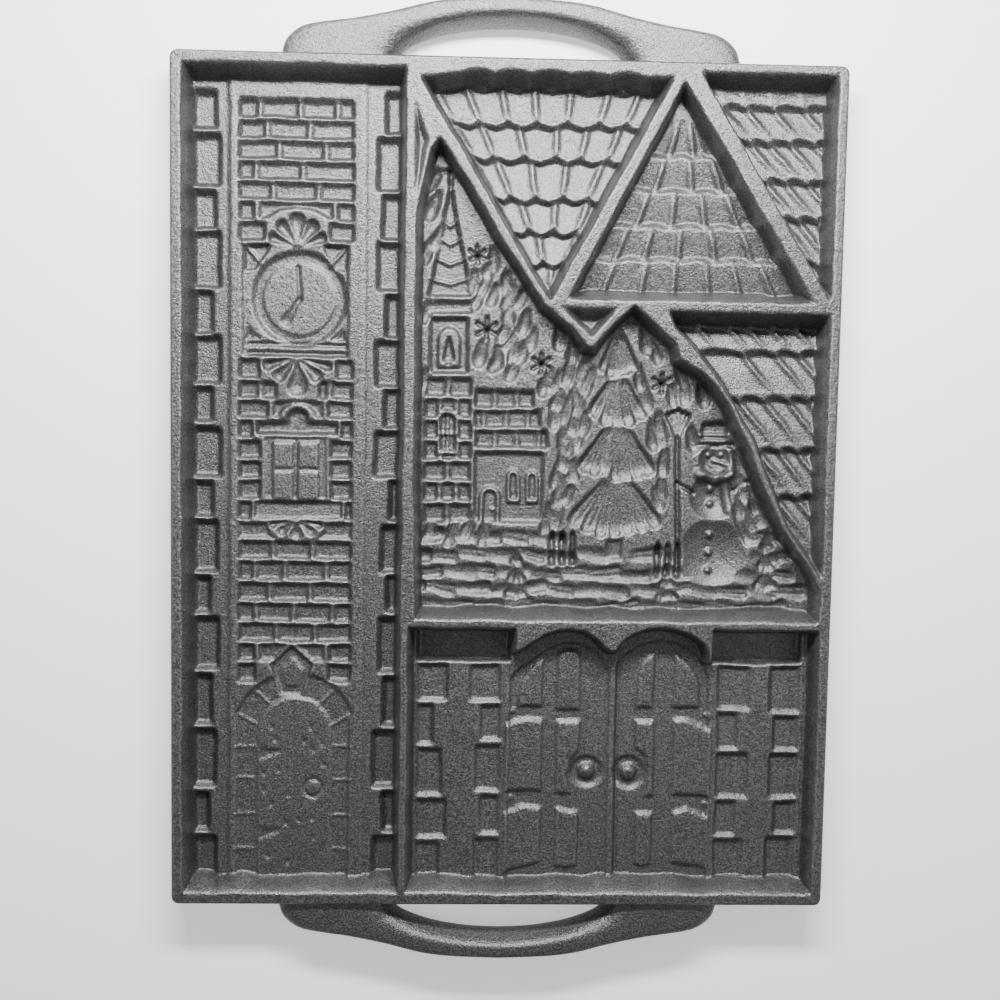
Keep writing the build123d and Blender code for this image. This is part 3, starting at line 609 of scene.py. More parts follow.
@dataclass
class Compartment:
    """One compartment of the tray: a drafted wall all round and a flat floor.

    A wall falls by depth / run (ramp(d) - ramp(d - run)), d being the distance inwards from
    its outline at the rim plane; the two soft ramps round its lip and its foot.

    Attributes:
        outline: The compartment's outline at the rim plane.
        floor: Height of its floor.
        side_run: Run of its walls at both sides.
        far_wall_extra_run: What the wall at the roofs' end adds to it.
        near_wall_extra_run: What the wall at the doors' end adds to it.
        foot_wander: How far the foot of that wall swings.
        lip_radius: Reach of the rounding at the lip.
        foot_radius: Reach of the rounding at the foot.
        floor_from: Share of the wall's fall from which a place counts as floor.
        floor_fade: Share of the fall over which that fades in.
    """

    outline: Outline
    floor: float = 6.0
    side_run: float = 1.3
    far_wall_extra_run: float = 2.4
    near_wall_extra_run: float = 1.6
    foot_wander: float = 1.1
    lip_radius: float = 0.8
    foot_radius: float = 0.5
    floor_from: float = 0.93
    floor_fade: float = 0.06

    def press(self, relief: Relief) -> None:
        """Sink the compartment into the relief and mark its floor.

        Args:
            relief: The relief to press into.
        """
        ring = counter_clockwise(self.outline)
        patch = relief.patch_over(ring, 2.0)
        depth = relief.thickness - self.floor
        inside = inside_outline(patch.x, patch.y, ring)
        within = np.full(patch.x.shape, depth)
        beyond = np.zeros(patch.x.shape)
        lumps = lattice_noise(patch.x, patch.y, 9.0, 15)
        for edge in edges_of(ring):
            far, near = max(0.0, edge.outward_y) ** 4, max(0.0, -edge.outward_y) ** 4
            run = self.side_run + self.far_wall_extra_run * far
            run = run + near * (self.near_wall_extra_run + self.foot_wander * lumps)
            distance = segment_distance(patch.x, patch.y, edge.start, edge.end)
            signed = np.where(inside, distance, -distance)
            wall = soft_ramp(signed, self.lip_radius) - soft_ramp(signed - run, self.foot_radius)
            fall = depth / run * wall
            within = np.minimum(within, fall)
            beyond = np.maximum(beyond, fall)
        drop = np.where(inside, within, beyond)
        patch.z -= drop
        floor = smoothstep((drop / depth - self.floor_from) / self.floor_fade)
        np.maximum(patch.floor, floor, out=patch.floor)


# Outline of the winter picture's compartment
PICTURE: list[Point] = [
    (-33.5, -49.4), (121.8, -49.4), (122.5, -37.5), (117.5, -28.3), (107.1, -14.2), (100.2, 0.0),
    (92.8, 17.5), (84.8, 34.0), (80.0, 40.4), (75.0, 45.4), (65.5, 51.5), (63.8, 57.0),
    (47.7, 71.0), (40.0, 63.0), (32.6, 54.6), (29.6, 55.2), (24.0, 62.0), (13.3, 70.3),
    (5.0, 83.2), (-4.4, 97.2), (-15.6, 115.6), (-26.9, 131.5), (-29.8, 127.5), (-34.5, 105.0),
    (-34.8, 20.0),
]


@dataclass
class RidgeNetwork:
    """The rim and the ridges: what is left between the compartments.

    Attributes:
        sag: How deep the cast face sags in broad patches, in mm.
        lumps: How deep its lumps of about 2 mm are.
        pits: How deep its pits of about 1 mm are.
    """

    sag: float = 0.10
    lumps: float = 0.035
    pits: float = 0.02

    def compartments(self) -> list[Compartment]:
        """Tower, roofs, corners, picture and doors, and the two blind pockets.

        Returns:
            The compartments, in the order in which they are sunk.
        """
        lower_corner = [
            (122.6, -31.5), (122.6, 69.0), (61.3, 69.0), (64.5, 62.8), (71.5, 55.5), (80.0, 45.0),
            (88.0, 33.0), (95.4, 20.0), (103.8, 0.0), (110.4, -15.0),
        ]
        doors = [
            (-36.2, -156.9), (122.4, -156.9), (122.4, -53.0), (81.6, -53.0), (81.4, -66.0),
            (80.4, -66.0), (79.6, -62.1), (77.9, -58.6), (74.0, -55.5), (68.1, -53.2), (62.2, -52.5),
            (55.4, -53.2), (50.5, -55.2), (46.5, -58.1), (43.6, -61.9), (41.7, -61.9), (38.7, -59.8),
            (35.5, -56.5), (31.4, -54.0), (25.7, -53.0), (20.8, -53.6), (15.9, -55.7), (12.0, -58.3),
            (8.3, -60.8), (4.7, -62.6), (4.6, -53.2), (-36.2, -53.2),
        ]
        return [
            Compartment(rectangle(-122.2, -40.0, -156.9, 157.5)),
            Compartment(self.roof()),
            Compartment([(23.0, 73.4), (116.2, 73.4), (65.0, 154.1)]),
            Compartment([(122.5, 75.0), (122.5, 158.3), (71.6, 158.3), (76.3, 150.3)]),
            Compartment(lower_corner),
            Compartment(PICTURE, far_wall_extra_run=1.0),
            Compartment(doors, far_wall_extra_run=0.6),
            Compartment([(32.0, 59.3), (41.0, 69.9), (20.0, 69.9)], floor=9.5),
            Compartment([(-35.6, 111.0), (-31.4, 131.0), (-36.2, 144.5)], floor=12.8, side_run=1.2,
                        far_wall_extra_run=0.0, foot_radius=0.4),
        ]

    @staticmethod
    def roof() -> list[Point]:
        """Outline of the upside-down roof, its eave scalloped by the tile ends.

        Returns:
            The outline's corners.
        """
        joints = [50.0, 36.3, 21.9, 7.0, -7.0, -19.4]
        eave = []
        for start, end in zip(joints, joints[1:]):
            for share in (0.0, 0.2, 0.5, 0.8):
                bulge = 1.4 * math.sin(math.pi * share)
                eave.append((start + (end - start) * share, 155.9 + bulge))
        return [(15.6, 72.8), (60.5, 156.0)] + eave + [(-19.4, 155.9), (-33.8, 154.2)]

    def press(self, relief: Relief) -> None:
        """Sink every compartment."""
        for compartment in self.compartments():
            compartment.press(relief)

    def weather(self, relief: Relief) -> None:
        """Soften and sag the face, as sand does under a pattern, and round its outer edge.

        Args:
            relief: The relief, with everything pressed into it.
        """
        broad = lattice_noise(relief.x, relief.y, 17.0, 11)
        fine = lattice_noise(relief.x, relief.y, 2.3, 12)
        rough = lattice_noise(relief.x, relief.y, 1.1, 13)
        relief.soften(2)
        fall = self.sag * (0.5 + 0.5 * broad) + self.lumps * (1.0 + fine)
        relief.z -= fall + self.pits * (1.0 + rough)
        relief.round_edge()


@dataclass
class Fan:
    """A fan ornament: rounded petals that radiate from one point, the same to both sides.

    Attributes:
        root: Where the petals meet.
        middle: Reach and width of the middle petal.
        pairs: Travel across, reach and width of each pair of petals beside it.
        depth: Depth of the petals in mm.
        facing: Which way the fan opens.
        root_width: Width of the petals at the root.
    """

    root: Point
    middle: Point
    pairs: Sequence[tuple[float, float, float]]
    depth: float = 2.4
    facing: FanFacing = FanFacing.UP
    root_width: float = 0.8

    def press(self, relief: Relief) -> None:
        """Press the petals, the middle one first.

        Args:
            relief: The relief to press into.
        """
        petals = [(0.0, *self.middle)]
        for across, reach, width in self.pairs:
            petals += [(-across, reach, width), (across, reach, width)]
        for across, reach, width in petals:
            tip = (self.root[0] + across, self.root[1] + self.facing.value * reach)
            relief.lobe(self.root, tip, (self.root_width, width), self.depth)


@dataclass
class StoneColumn:
    """A column of corner stones between the tower's wall and its brickwork.

    Attributes:
        wall_x: Where the stones meet the wall.
        stones: Each stone's top, bottom and inner end, in mm.
        depth: Depth of the stones in mm.
        spill: How far a stone's rounded lips reach over its top and bottom.
        tilt: How much less deep a stone's bed is at its bottom than at its top, in mm.
    """

    wall_x: float
    stones: Sequence[tuple[float, float, float]]
    depth: float = 3.2
    spill: float = 0.3
    tilt: float = 0.1

    def press(self, relief: Relief) -> None:
        """Sink the stones.

        Args:
            relief: The relief to press into.
        """
        for top, bottom, inner in self.stones:
            x0, x1 = sorted((self.wall_x, inner))
            stone = rectangle(x0, x1, bottom - self.spill, top + self.spill)
            relief.sink(stone, self.depth, STONE, tilt=self.tilt)


# Where the tower's brickwork begins and ends across
BRICKS_LEFT = -103.5
BRICKS_RIGHT = -59.0


@dataclass
class BrickRow:
    """One course of bricks.

    Attributes:
        top: Top of the course.
        bottom: Bottom of the course.
        bricks: Where each brick starts and ends.
        depth: Depth of the bricks in mm.
        course_share: Share of that depth which the whole course has, joints and all.
        widest_joint: Gap up to which two bricks belong to one course.
        spill: How far the rounded lips reach over the top and the bottom.
        tilt: How much less deep a brick's bed is at its bottom; negative makes it deeper there.
    """

    top: float
    bottom: float
    bricks: Sequence[Point]
    depth: float = 2.4
    course_share: float = 0.4
    widest_joint: float = 1.5
    spill: float = 0.15
    tilt: float = -0.3

    @classmethod
    def between(cls, top: float, bottom: float, joints: Sequence[float],
                half_joint: float = 0.4) -> BrickRow:
        """A course over the tower's full width, from its joints' centres.

        Args:
            top: Top of the course.
            bottom: Bottom of the course.
            joints: Centres of the joints between two bricks.
            half_joint: Half a joint's width.

        Returns:
            The course.
        """
        starts = [BRICKS_LEFT] + [joint + half_joint for joint in joints]
        ends = [joint - half_joint for joint in joints] + [BRICKS_RIGHT]
        return cls(top, bottom, list(zip(starts, ends)))

    def press(self, relief: Relief) -> None:
        """Sink the courses and then, deeper, the bricks, so that their joints stay low ribs.

        Args:
            relief: The relief to press into.
        """
        courses: list[list[float]] = []
        for start, end in self.bricks:
            if courses and start - courses[-1][1] < self.widest_joint:
                courses[-1][1] = end
            else:
                courses.append([start, end])
        low, high = self.bottom - self.spill, self.top + self.spill
        for start, end in courses:
            relief.sink(rectangle(start, end, low, high), self.depth * self.course_share)
        for start, end in self.bricks:
            rest = self.depth * (1.0 - self.course_share)
            relief.sink(rectangle(start, end, low, high), rest, tilt=self.tilt)


@dataclass
class TowerRelief:
    """The tall tower: corner stones, brick courses, clock, window and arched portal.

    Attributes:
        strip_height: Height of the strips that the corner stones are sunk into, in mm.
        clock_centre: Middle of the clock's dial.
        door_axis: Axis of the portal.
    """

    strip_height: float = 5.2
    clock_centre: Point = (-80.0, 72.2)
    door_axis: float = -81.0

    def press(self, relief: Relief) -> None:
        """Press the whole tower.

        Args:
            relief: The relief to press into.
        """
        relief.level(rectangle(-124.0, -106.2, -160.0, 160.0), self.strip_height)
        relief.level(rectangle(-54.8, -38.0, -160.0, 160.0), self.strip_height)
        for column in self.stone_columns():
            column.press(relief)
        for row in self.brick_rows():
            row.press(relief)
        self.press_clock(relief)
        self.press_window(relief)
        for fan in self.fans():
            fan.press(relief)
        self.press_portal(relief)
        relief.groove([(-105.3, 150.0), (-105.3, -150.0)], 0.5, -0.25, 0.8)
        relief.groove([(-56.6, 150.0), (-56.6, -150.0)], 0.5, -0.18, 0.8)

    @staticmethod
    def stone_columns() -> list[StoneColumn]:
        """Both columns of corner stones, short and long by turns, none quite like the next.

        Returns:
            The left and the right column.
        """
        left = [
            (150.3, 135.5, -110.8), (134.0, 114.5, -109.5), (113.1, 98.1, -111.2),
            (97.5, 76.0, -109.5), (75.0, 58.3, -112.5), (57.7, 39.2, -109.5),
            (38.3, 24.8, -112.3), (22.8, 3.3, -109.2), (2.3, -12.0, -112.2),
            (-12.9, -33.8, -110.6), (-35.0, -49.8, -113.5), (-51.0, -72.2, -110.2),
            (-73.7, -94.0, -112.6), (-95.3, -118.8, -111.3), (-120.7, -136.7, -113.5),
            (-138.0, -155.5, -111.0),
        ]
        right = [
            (150.7, 135.0, -48.3), (134.0, 113.5, -51.3), (112.7, 95.0, -49.3),
            (94.3, 75.7, -51.0), (74.7, 57.7, -47.7), (57.0, 39.2, -51.5), (38.7, 23.0, -48.2),
            (22.3, 4.0, -51.5), (3.3, -13.3, -45.7), (-14.7, -33.7, -48.7),
            (-34.0, -49.0, -46.3), (-50.7, -72.7, -49.3), (-74.3, -94.3, -47.5),
            (-95.7, -118.7, -51.3), (-120.0, -136.5, -47.3), (-138.0, -155.5, -51.3),
        ]
        return [StoneColumn(-121.0, left), StoneColumn(-40.8, right)]

    @staticmethod
    def brick_rows() -> list[BrickRow]:
        """The brick courses: full ones above and below, and broken ones beside the panels.

        Returns:
            The courses.
        """
        upper_joints = [
            [-95.2, -79.8, -65.6], [-92.2, -76.1], [-87.8, -69.8], [-96.5, -78.9], [-90.3, -73.0],
        ]
        rows = []
        for index, joints in enumerate(upper_joints):
            top = 147.3 - 7.7 * index
            rows.append(BrickRow.between(top, top - 7.2, joints))
        for top, bottom, left_end, right_start in (
            (108.8, 101.5, -96.9, -66.2), (101.1, 93.9, -92.8, -69.2), (49.3, 41.5, -94.6, -66.6),
            (33.4, 26.3, -91.3, -69.7), (25.8, 18.5, -97.2, -64.2), (18.1, 10.7, -94.2, -68.2),
            (10.3, 3.1, -94.2, -68.2), (2.9, -5.1, -94.2, -68.2), (-5.6, -13.3, -97.6, -62.6),
            (-61.3, -68.8, -96.2, -68.3), (-69.2, -76.8, -95.8, -68.8),
        ):
            bricks = [(BRICKS_LEFT, left_end), (right_start, BRICKS_RIGHT)]
            rows.append(BrickRow(top, bottom, bricks))
        rows.append(BrickRow(41.0, 33.7, [
            (BRICKS_LEFT, -95.3), (-94.5, -88.2), (-73.2, -68.9), (-68.1, BRICKS_RIGHT),
        ]))
        for top, bottom, joints in (
            (-21.0, -28.5, [-90.0, -74.6]), (-28.8, -36.8, [-96.8, -85.0, -69.0]),
            (-37.2, -45.1, [-90.8, -75.3]), (-45.4, -53.2, [-96.2, -81.8, -66.7]),
            (-53.3, -60.9, [-88.6, -73.3]),
        ):
            rows.append(BrickRow.between(top, bottom, joints))
        return rows

    @staticmethod
    def fans() -> list[Fan]:
        """The fans over the clock, under it and under the window.

        Returns:
            The three fans.
        """
        down = FanFacing.DOWN
        return [
            Fan((-80.9, 91.6), (13.2, 9.6), [(7.4, 10.0, 7.4), (11.4, 4.2, 5.4)], 3.0),
            Fan((-80.6, 49.8), (14.8, 11.0), [(9.0, 8.6, 7.0), (13.4, 3.6, 4.6)], 2.8, down),
            Fan((-80.6, -13.2), (8.0, 8.8), [(7.2, 5.2, 5.4), (10.6, 2.0, 3.4)], 2.4, down),
        ]

    def press_clock(self, relief: Relief) -> None:
        """Clock panel: sunk square, ring round a raised dial, two hands and leaves at the corners.

        Args:
            relief: The relief to press into.
        """
        cx, cy = self.clock_centre
        over_fan = [
            (-95.8, 108.8), (-66.9, 108.8), (-66.9, 101.6), (-70.0, 102.6), (-74.0, 105.2),
            (-80.7, 106.4), (-87.4, 105.2), (-91.6, 102.6), (-95.8, 101.6),
        ]
        relief.sink(over_fan, 1.9, convex=False)
        relief.sink(rectangle(-102.0, -61.0, 49.9, 93.1), 1.2, Slopes(1.2, 0.7, 1.2))
        relief.dish((cx, cy), 19.0, 1.9, 2.6)
        relief.dish((cx, cy), 14.4, -0.7, 1.3)
        relief.groove([(cx, cy - 0.4), (cx - 0.4, cy + 6.0), (cx - 1.0, cy + 12.4)], 1.3, 1.2, 1.4)
        relief.groove([(cx, cy), (cx - 3.2, cy - 4.6)], 1.4, 1.0, 1.4)
        relief.lobe((cx - 0.6, cy - 2.0), (cx - 6.4, cy - 10.0), (1.6, 6.0), 2.0, 3.9)
        relief.groove([(-99.2, 54.7), (-62.4, 54.7)], 1.4, 1.3, 1.4)
        relief.groove([(-99.2, 51.3), (-62.4, 51.3)], 1.6, 1.3, 1.4)
        mid = -81.4
        for side in (-1.0, 1.0):
            leaf = ((19.8, 92.8), (19.8, 82.8), (15.4, 83.2), (11.2, 88.6), (9.2, 92.8))
            relief.sink([(mid + side * x, y) for x, y in leaf], 1.5, Slopes(1.4, 0.9, 0.9),
                        convex=False)
            relief.groove([(mid + side * 20.0, 93.0), (mid + side * 12.6, 84.8)], 0.7, -1.5, 1.3)
            small = ((19.0, 62.4), (19.2, 56.4), (12.6, 56.4))
            relief.sink([(mid + side * x, y) for x, y in small], 1.3, Slopes(1.0, 0.8, 0.8),
                        convex=False)
            relief.groove([(mid + side * 18.9, 61.2), (mid + side * 15.2, 57.0)], 0.5, -1.0, 1.0)

    def press_window(self, relief: Relief) -> None:
        """Window: hood with a round crest, four raised panes in a sunk frame, and a sill.

        Args:
            relief: The relief to press into.
        """
        crest = arc(-80.5, 26.0, 4.7, 0.0, 180.0, 9)
        hood = [(-96.4, 20.2), (-64.8, 20.2), (-64.8, 25.6), *crest, (-96.4, 25.6)]
        relief.sink(hood, 2.9, Slopes(2.0, 0.9, 1.3), convex=False)
        notch = arc(-80.5, 25.4, 6.6, 172.0, 8.0, 9)
        over_hood = [(-90.5, 33.4), (-90.5, 26.3), *notch, (-70.5, 26.3), (-70.5, 33.4)]
        relief.sink(over_hood, 1.9, convex=False)
        relief.sink(rectangle(-93.4, -69.0, -4.9, 19.2), 0.7, Slopes(0.8, 0.6, 0.8))
        for x0, x1 in ((-90.2, -81.8), (-80.2, -71.8)):
            for y0, y1 in ((6.6, 17.9), (-5.2, 6.8)):
                relief.sink(rectangle(x0, x1, y0, y1), -1.2, Slopes(1.3, 0.6, 1.3))
        relief.sink(rectangle(-97.2, -63.0, -12.9, -5.2), 2.0, Slopes(1.6, 0.8, 1.5), tilt=0.6)
        left, right = BRICKS_LEFT, BRICKS_RIGHT
        for brick in (
            [(left, -20.8), (-87.4, -20.8), (-90.4, -18.4), (-91.6, -13.7), (left, -13.7)],
            [(right, -20.8), (right, -13.7), (-69.9, -13.7), (-71.2, -18.2), (-73.4, -20.8)],
        ):
            relief.sink(brick, 1.8, convex=False)

    def press_portal(self, relief: Relief) -> None:
        """Portal: arch stones round a raised door with strap hinges, nails and a ring.

        Args:
            relief: The relief to press into.
        """
        for brick in (
            [(-95.4, -68.8), (-88.9, -68.8), (-83.9, -62.6), (-84.4, -61.3), (-95.4, -61.3)],
            [(-69.1, -68.8), (-69.1, -61.3), (-80.2, -61.3), (-80.7, -62.4), (-75.2, -68.8)],
        ):
            relief.sink(brick, 1.8, convex=False)
        axis, spring, half = self.door_axis, -97.0, 14.8
        outer = arc(axis, spring, 24.6, 20.0, 160.0, 15)
        casing = [(-104.0, -156.0), (-59.4, -156.0), (-59.4, -92.0), *outer, (-104.0, -92.0)]
        relief.sink(casing, 1.3, Slopes(1.8, 1.0, 1.0), convex=False)
        keystone = [(-87.4, -82.0), (-78.0, -82.0), (-73.6, -69.4), (-82.2, -61.4), (-90.8, -69.4)]
        relief.level(keystone, 3.9, Slopes(1.7, 1.0, 1.0), convex=False)
        inner = [(-85.2, -79.0), (-79.2, -79.0), (-76.9, -71.6), (-81.8, -66.4), (-86.8, -71.6)]
        relief.sink(inner, -0.7, Slopes(1.6, 1.0, 1.0))
        joints = [
            [(-90.0, -71.0), (-86.9, -81.4)], [(-74.3, -71.4), (-77.9, -81.6)],
            [(-96.4, -80.4), (-91.0, -85.4)], [(-102.6, -90.0), (-96.0, -93.6)],
            [(-65.9, -79.8), (-71.2, -85.6)], [(-59.9, -89.7), (-66.8, -94.0)],
        ]
        joints += [[(-104.2, y), (-96.6, y)] for y in (-102.7, -115.0, -129.3, -143.4)]
        joints += [[(-65.8, y), (-59.2, y)] for y in (-102.2, -115.7, -129.8, -143.7)]
        for joint in joints:
            relief.groove(joint, 0.5, -0.9, 1.2)
        leaf = arched(axis, half, -157.0, spring, 15)
        relief.sink(leaf, -0.9, Slopes(0.9, 0.8, 0.8), convex=False)
        relief.groove([(axis - 0.4, -85.0), (axis - 0.4, -153.0)], 0.5, 0.6, 0.8)
        for low in (-108.3, -140.4):
            hinge = [(-95.2, low), (-86.4, low + 3.6), (-86.0, low + 5.4), (-95.2, low + 5.8)]
            relief.sink(hinge, 0.8, Slopes(1.6, 0.8, 1.0), convex=False)
        relief.ring((-73.7, -118.7), 4.6, 2.4, 0.8, 1.0)
        relief.ball((-73.7, -118.2), 1.6, -0.3)
        marks = [
            (-90.0, -94.0), (-75.0, -94.0), (-89.0, -99.0), (-77.5, -99.5), (-70.3, -100.5),
            (-93.5, -102.7), (-74.0, -103.0), (-70.0, -109.0), (-93.0, -112.5), (-87.5, -111.0),
            (-93.0, -119.5), (-83.7, -121.0), (-90.3, -125.0), (-74.0, -130.3), (-84.5, -132.5),
            (-79.0, -131.5), (-94.0, -135.3), (-73.7, -138.5), (-91.5, -146.0), (-84.0, -148.0),
        ]
        for x, y in marks:
            relief.lobe((x - 0.6, y + 1.9), (x + 0.8, y - 1.9), (1.6, 3.0), 1.3)


@dataclass
class TileRow:
    """A row of roof tiles whose joints all point at the roof's apex.

    Attributes:
        thick: Where the tiles' thick, deep ends lie, in mm.
        thin: Where they run out, in mm.
        slopes: Travel across per mm away from the apex, of each joint.
        edge_slopes: The same for the joints that scallop the thick ends' line.
    """

    thick: float
    thin: float
    slopes: Sequence[float]
    edge_slopes: Sequence[float] = ()


@dataclass
class TiledRoof:
    """A triangular roof of fanned tiles.

    In a tile, u runs across between its joints and v along from its thin to its thick end; the
    bed lies thin + (thick - thin) v^1.15 under the floor, with a rib at both joints and a ramp
    at the thick end.

    Attributes:
        apex: Where the joints meet.
        away: Which way Y runs from the apex.
        deep_end: Which end of the tiles is deepest.
        rows: The rows of tiles.
        scallop: How far the end line swings between two joints; negative swings it the other way.
        thick_depth: Depth of a tile at its thick end.
        thin_depth: Depth of a tile where it runs out.
        rib: Height of the rib at a joint.
        side_run: Reach of the rib into the tile.
        end_run: Run of the ramp at the middle of a tile's end.
        peak_run: What the ramp's run gains towards a joint.
        sharpness: Exponent of the end line's peaks.
    """

    apex: Point
    away: float
    deep_end: TileEnd
    rows: Sequence[TileRow]
    scallop: float
    thick_depth: float = 2.9
    thin_depth: float = 0.3
    rib: float = 1.3
    side_run: float = 2.1
    end_run: float = 1.2
    peak_run: float = 1.6
    sharpness: float = 1.15

    @staticmethod
    def shares(place: Array, slopes: Sequence[float]) -> tuple[Array, Array]:
        """Position between the two nearest joints, 0..1, and the width between them.

        Args:
            place: Travel across per mm away from the apex, of each place.
            slopes: The same of each joint, from left to right.

        Returns:
            Both per place, the width as travel per mm too.
        """
        lines = np.asarray(slopes)
        index = np.clip(np.searchsorted(lines, place) - 1, 0, len(lines) - 2)
        width = lines[index + 1] - lines[index]
        return np.clip((place - lines[index]) / width, 0.0, 1.0), width

    def press(self, relief: Relief) -> None:
        """Press every row of tiles.

        Args:
            relief: The relief to press into.
        """
        turn = self.deep_end.value
        for row in self.rows:
            low, high = sorted((row.thick, row.thin))
            farthest = max(abs(low - self.apex[1]), abs(high - self.apex[1]))
            reach = max(abs(slope) for slope in row.slopes) * farthest + 1.0
            patch = relief.patch(self.apex[0] - reach, self.apex[0] + reach, low, high, 3.2)
            away = np.maximum(self.away * (patch.y - self.apex[1]), 0.5)
            place = (patch.x - self.apex[0]) / away
            u, width = self.shares(place, row.slopes)
            beside = width * away * np.minimum(u, 1.0 - u)
            along = turn * (patch.y - row.thin)
            v = np.clip(along / abs(row.thick - row.thin), 0.0, 1.0)
            swing_u, _ = self.shares(place, row.edge_slopes or row.slopes)
            peak = np.abs(2.0 * swing_u - 1.0) ** self.sharpness
            end = turn * (row.thick - patch.y) + self.scallop * peak
            run = self.end_run + self.peak_run * peak
            shape = np.clip(end / run, 0.0, 1.0) * smoothstep(along / 1.2)
            bed = self.thin_depth + (self.thick_depth - self.thin_depth) * v**1.15
            rib = np.minimum(bed, self.rib) * (1.0 - smoothstep(beside / self.side_run))
            patch.z -= shape * (bed - rib) * patch.floor


@dataclass
class LeaningTiles:
    """Rows of tiles beside a slanting wall; a tile leans across by `lean` per mm down.

    Attributes:
        rows: Each row's top, bottom and the tiles' left and right ends at the row's top.
        lean: Travel across per mm down.
        thick_depth: Greatest depth of a tile at its top end.
        thin_depth: Depth of a tile where it runs out.
        rib: Height of the rib at a joint.
        side_run: Reach of the rib into the tile.
    """

    rows: Sequence[tuple[float, float, Sequence[tuple[float, float]]]]
    lean: float = 0.84
    thick_depth: float = 3.2
    thin_depth: float = 0.3
    rib: float = 1.5
    side_run: float = 2.4

    def press(self, relief: Relief) -> None:
        """Press every tile, deepest under its rounded top end.

        Args:
            relief: The relief to press into.
        """
        for top, bottom, tiles in self.rows:
            shift = self.lean * (top - bottom)
            patch = relief.patch(tiles[0][0], tiles[-1][1] + shift, bottom, top, 1.5)
            across = patch.x - self.lean * (top - patch.y)
            joints = [(left[1] + right[0]) / 2 for left, right in zip(tiles, tiles[1:])]
            bounds = np.array([tiles[0][0], *joints, tiles[-1][1]])
            index = np.clip(np.searchsorted(bounds, across) - 1, 0, len(bounds) - 2)
            start, end = bounds[index], bounds[index + 1]
            u = np.clip((across - start) / (end - start), 0.0, 1.0)
            beside = np.minimum(across - start, end - across)
            v = np.clip((patch.y - bottom) / (top - bottom), 0.0, 1.0)
            bend = np.abs(2.0 * u - 1.0) ** 2.0
            crown = top + 0.8 - 1.9 * bend
            shape = smoothstep((beside + 0.8) / 0.8) * smoothstep((patch.y - bottom) / 1.6)
            shape = shape * np.clip((crown - patch.y) / (2.8 - 1.2 * bend), 0.0, 1.0)
            deep = min(self.thick_depth, 0.25 * (top - bottom))
            bed = self.thin_depth + (deep - self.thin_depth) * v**1.3
            rib = np.minimum(bed, self.rib) * (1.0 - np.clip(beside / self.side_run, 0.0, 1.0))
            patch.z -= shape * (bed - rib) * patch.floor


@dataclass
class RoofReliefs:
    """Both triangular roofs and the two slanted corner pieces."""

    def tiled_roofs(self) -> list[TiledRoof]:
        """The upside-down roof and the spire.

        Returns:
            The two roofs.
        """
        joints = [
            [-0.56, -0.41, -0.244, -0.086, 0.092, 0.272, 0.426, 0.56],
            [-0.56, -0.405, -0.187, 0.035, 0.213, 0.40, 0.56],
            [-0.56, -0.389, -0.14, 0.12, 0.38, 0.56],
            [-0.56, -0.30, 0.048, 0.39, 0.56],
            [-0.56, -0.16, 0.42, 0.60],
            [-0.6, 0.10, 0.6],
        ]
        ends = [
            (152.4, 140.0), (138.7, 126.6), (125.5, 111.6), (110.5, 99.0), (98.0, 87.0), (86.0, 76.0),
        ]
        rows = [TileRow(*end, own, above) for end, own, above in zip(ends, joints, [(), *joints])]
        eaves = TiledRoof((15.6, 73.0), 1.0, TileEnd.TOP, rows, scallop=2.9)
        spire = TiledRoof((66.5, 154.5), -1.0, TileEnd.BOTTOM, [
            TileRow(128.4, 142.6, [-0.60, -0.21, 0.16, 0.43, 0.6]),
            TileRow(115.4, 129.8, [-0.60, -0.27, 0.094, 0.40, 0.6]),
            TileRow(101.9, 116.8, [-0.60, -0.336, -0.077, 0.18, 0.43, 0.6]),
            TileRow(88.9, 103.3, [-0.60, -0.39, -0.216, -0.014, 0.207, 0.43, 0.6]),
            TileRow(75.0, 90.3, [-0.60, -0.385, -0.20, -0.035, 0.144, 0.303, 0.468, 0.62]),
        ], scallop=0.9, end_run=2.2, peak_run=0.0, thick_depth=2.7, sharpness=1.3)
        return [eaves, spire]

    def corner_pieces(self) -> list[LeaningTiles]:
        """The tiles of the upper and the lower corner piece.

        Returns:
            The two corner pieces.
        """
        upper = LeaningTiles([
            (153.8, 149.9, [(71.0, 78.6), (79.4, 87.0), (88.0, 98.0), (99.0, 109.6), (110.6, 122.0)]),
            (149.0, 136.4, [(80.2, 88.6), (89.4, 99.4), (100.2, 111.4), (112.2, 123.0)]),
            (135.8, 121.6, [(83.0, 91.0), (91.6, 98.2), (98.9, 106.6), (107.2, 116.0),
                            (116.6, 124.0)]),
            (120.9, 107.4, [(91.0, 97.6), (98.2, 104.8), (105.6, 113.4), (114.2, 123.0)]),
            (106.7, 90.0, [(97.6, 104.0), (104.6, 110.6), (111.2, 118.0), (118.6, 124.0)]),
            (90.4, 76.0, [(106.0, 112.4), (113.0, 118.6)]),
        ])
        lower = LeaningTiles([
            (66.0, 56.2, [(62.0, 72.0), (73.0, 84.6), (85.4, 92.6), (93.2, 101.4), (102.2, 111.0),
                          (111.6, 121.0)]),
            (55.5, 38.8, [(66.0, 72.8), (73.5, 90.4), (91.2, 103.4), (104.2, 112.4), (113.2, 124.0)]),
            (37.6, 18.6, [(81.0, 89.6), (90.2, 99.4), (100.0, 109.2), (109.8, 117.2), (118.0, 125.0)]),
            (17.6, 0.4, [(90.0, 97.8), (98.4, 105.6), (106.4, 113.6), (114.2, 125.0)]),
            (-0.6, -20.0, [(98.0, 105.4), (106.2, 113.6), (114.4, 125.0)]),
        ], lean=0.80)
        return [upper, lower]

    def press(self, relief: Relief) -> None:
        """Press all tiles."""
        for piece in self.tiled_roofs() + self.corner_pieces():
            piece.press(relief)


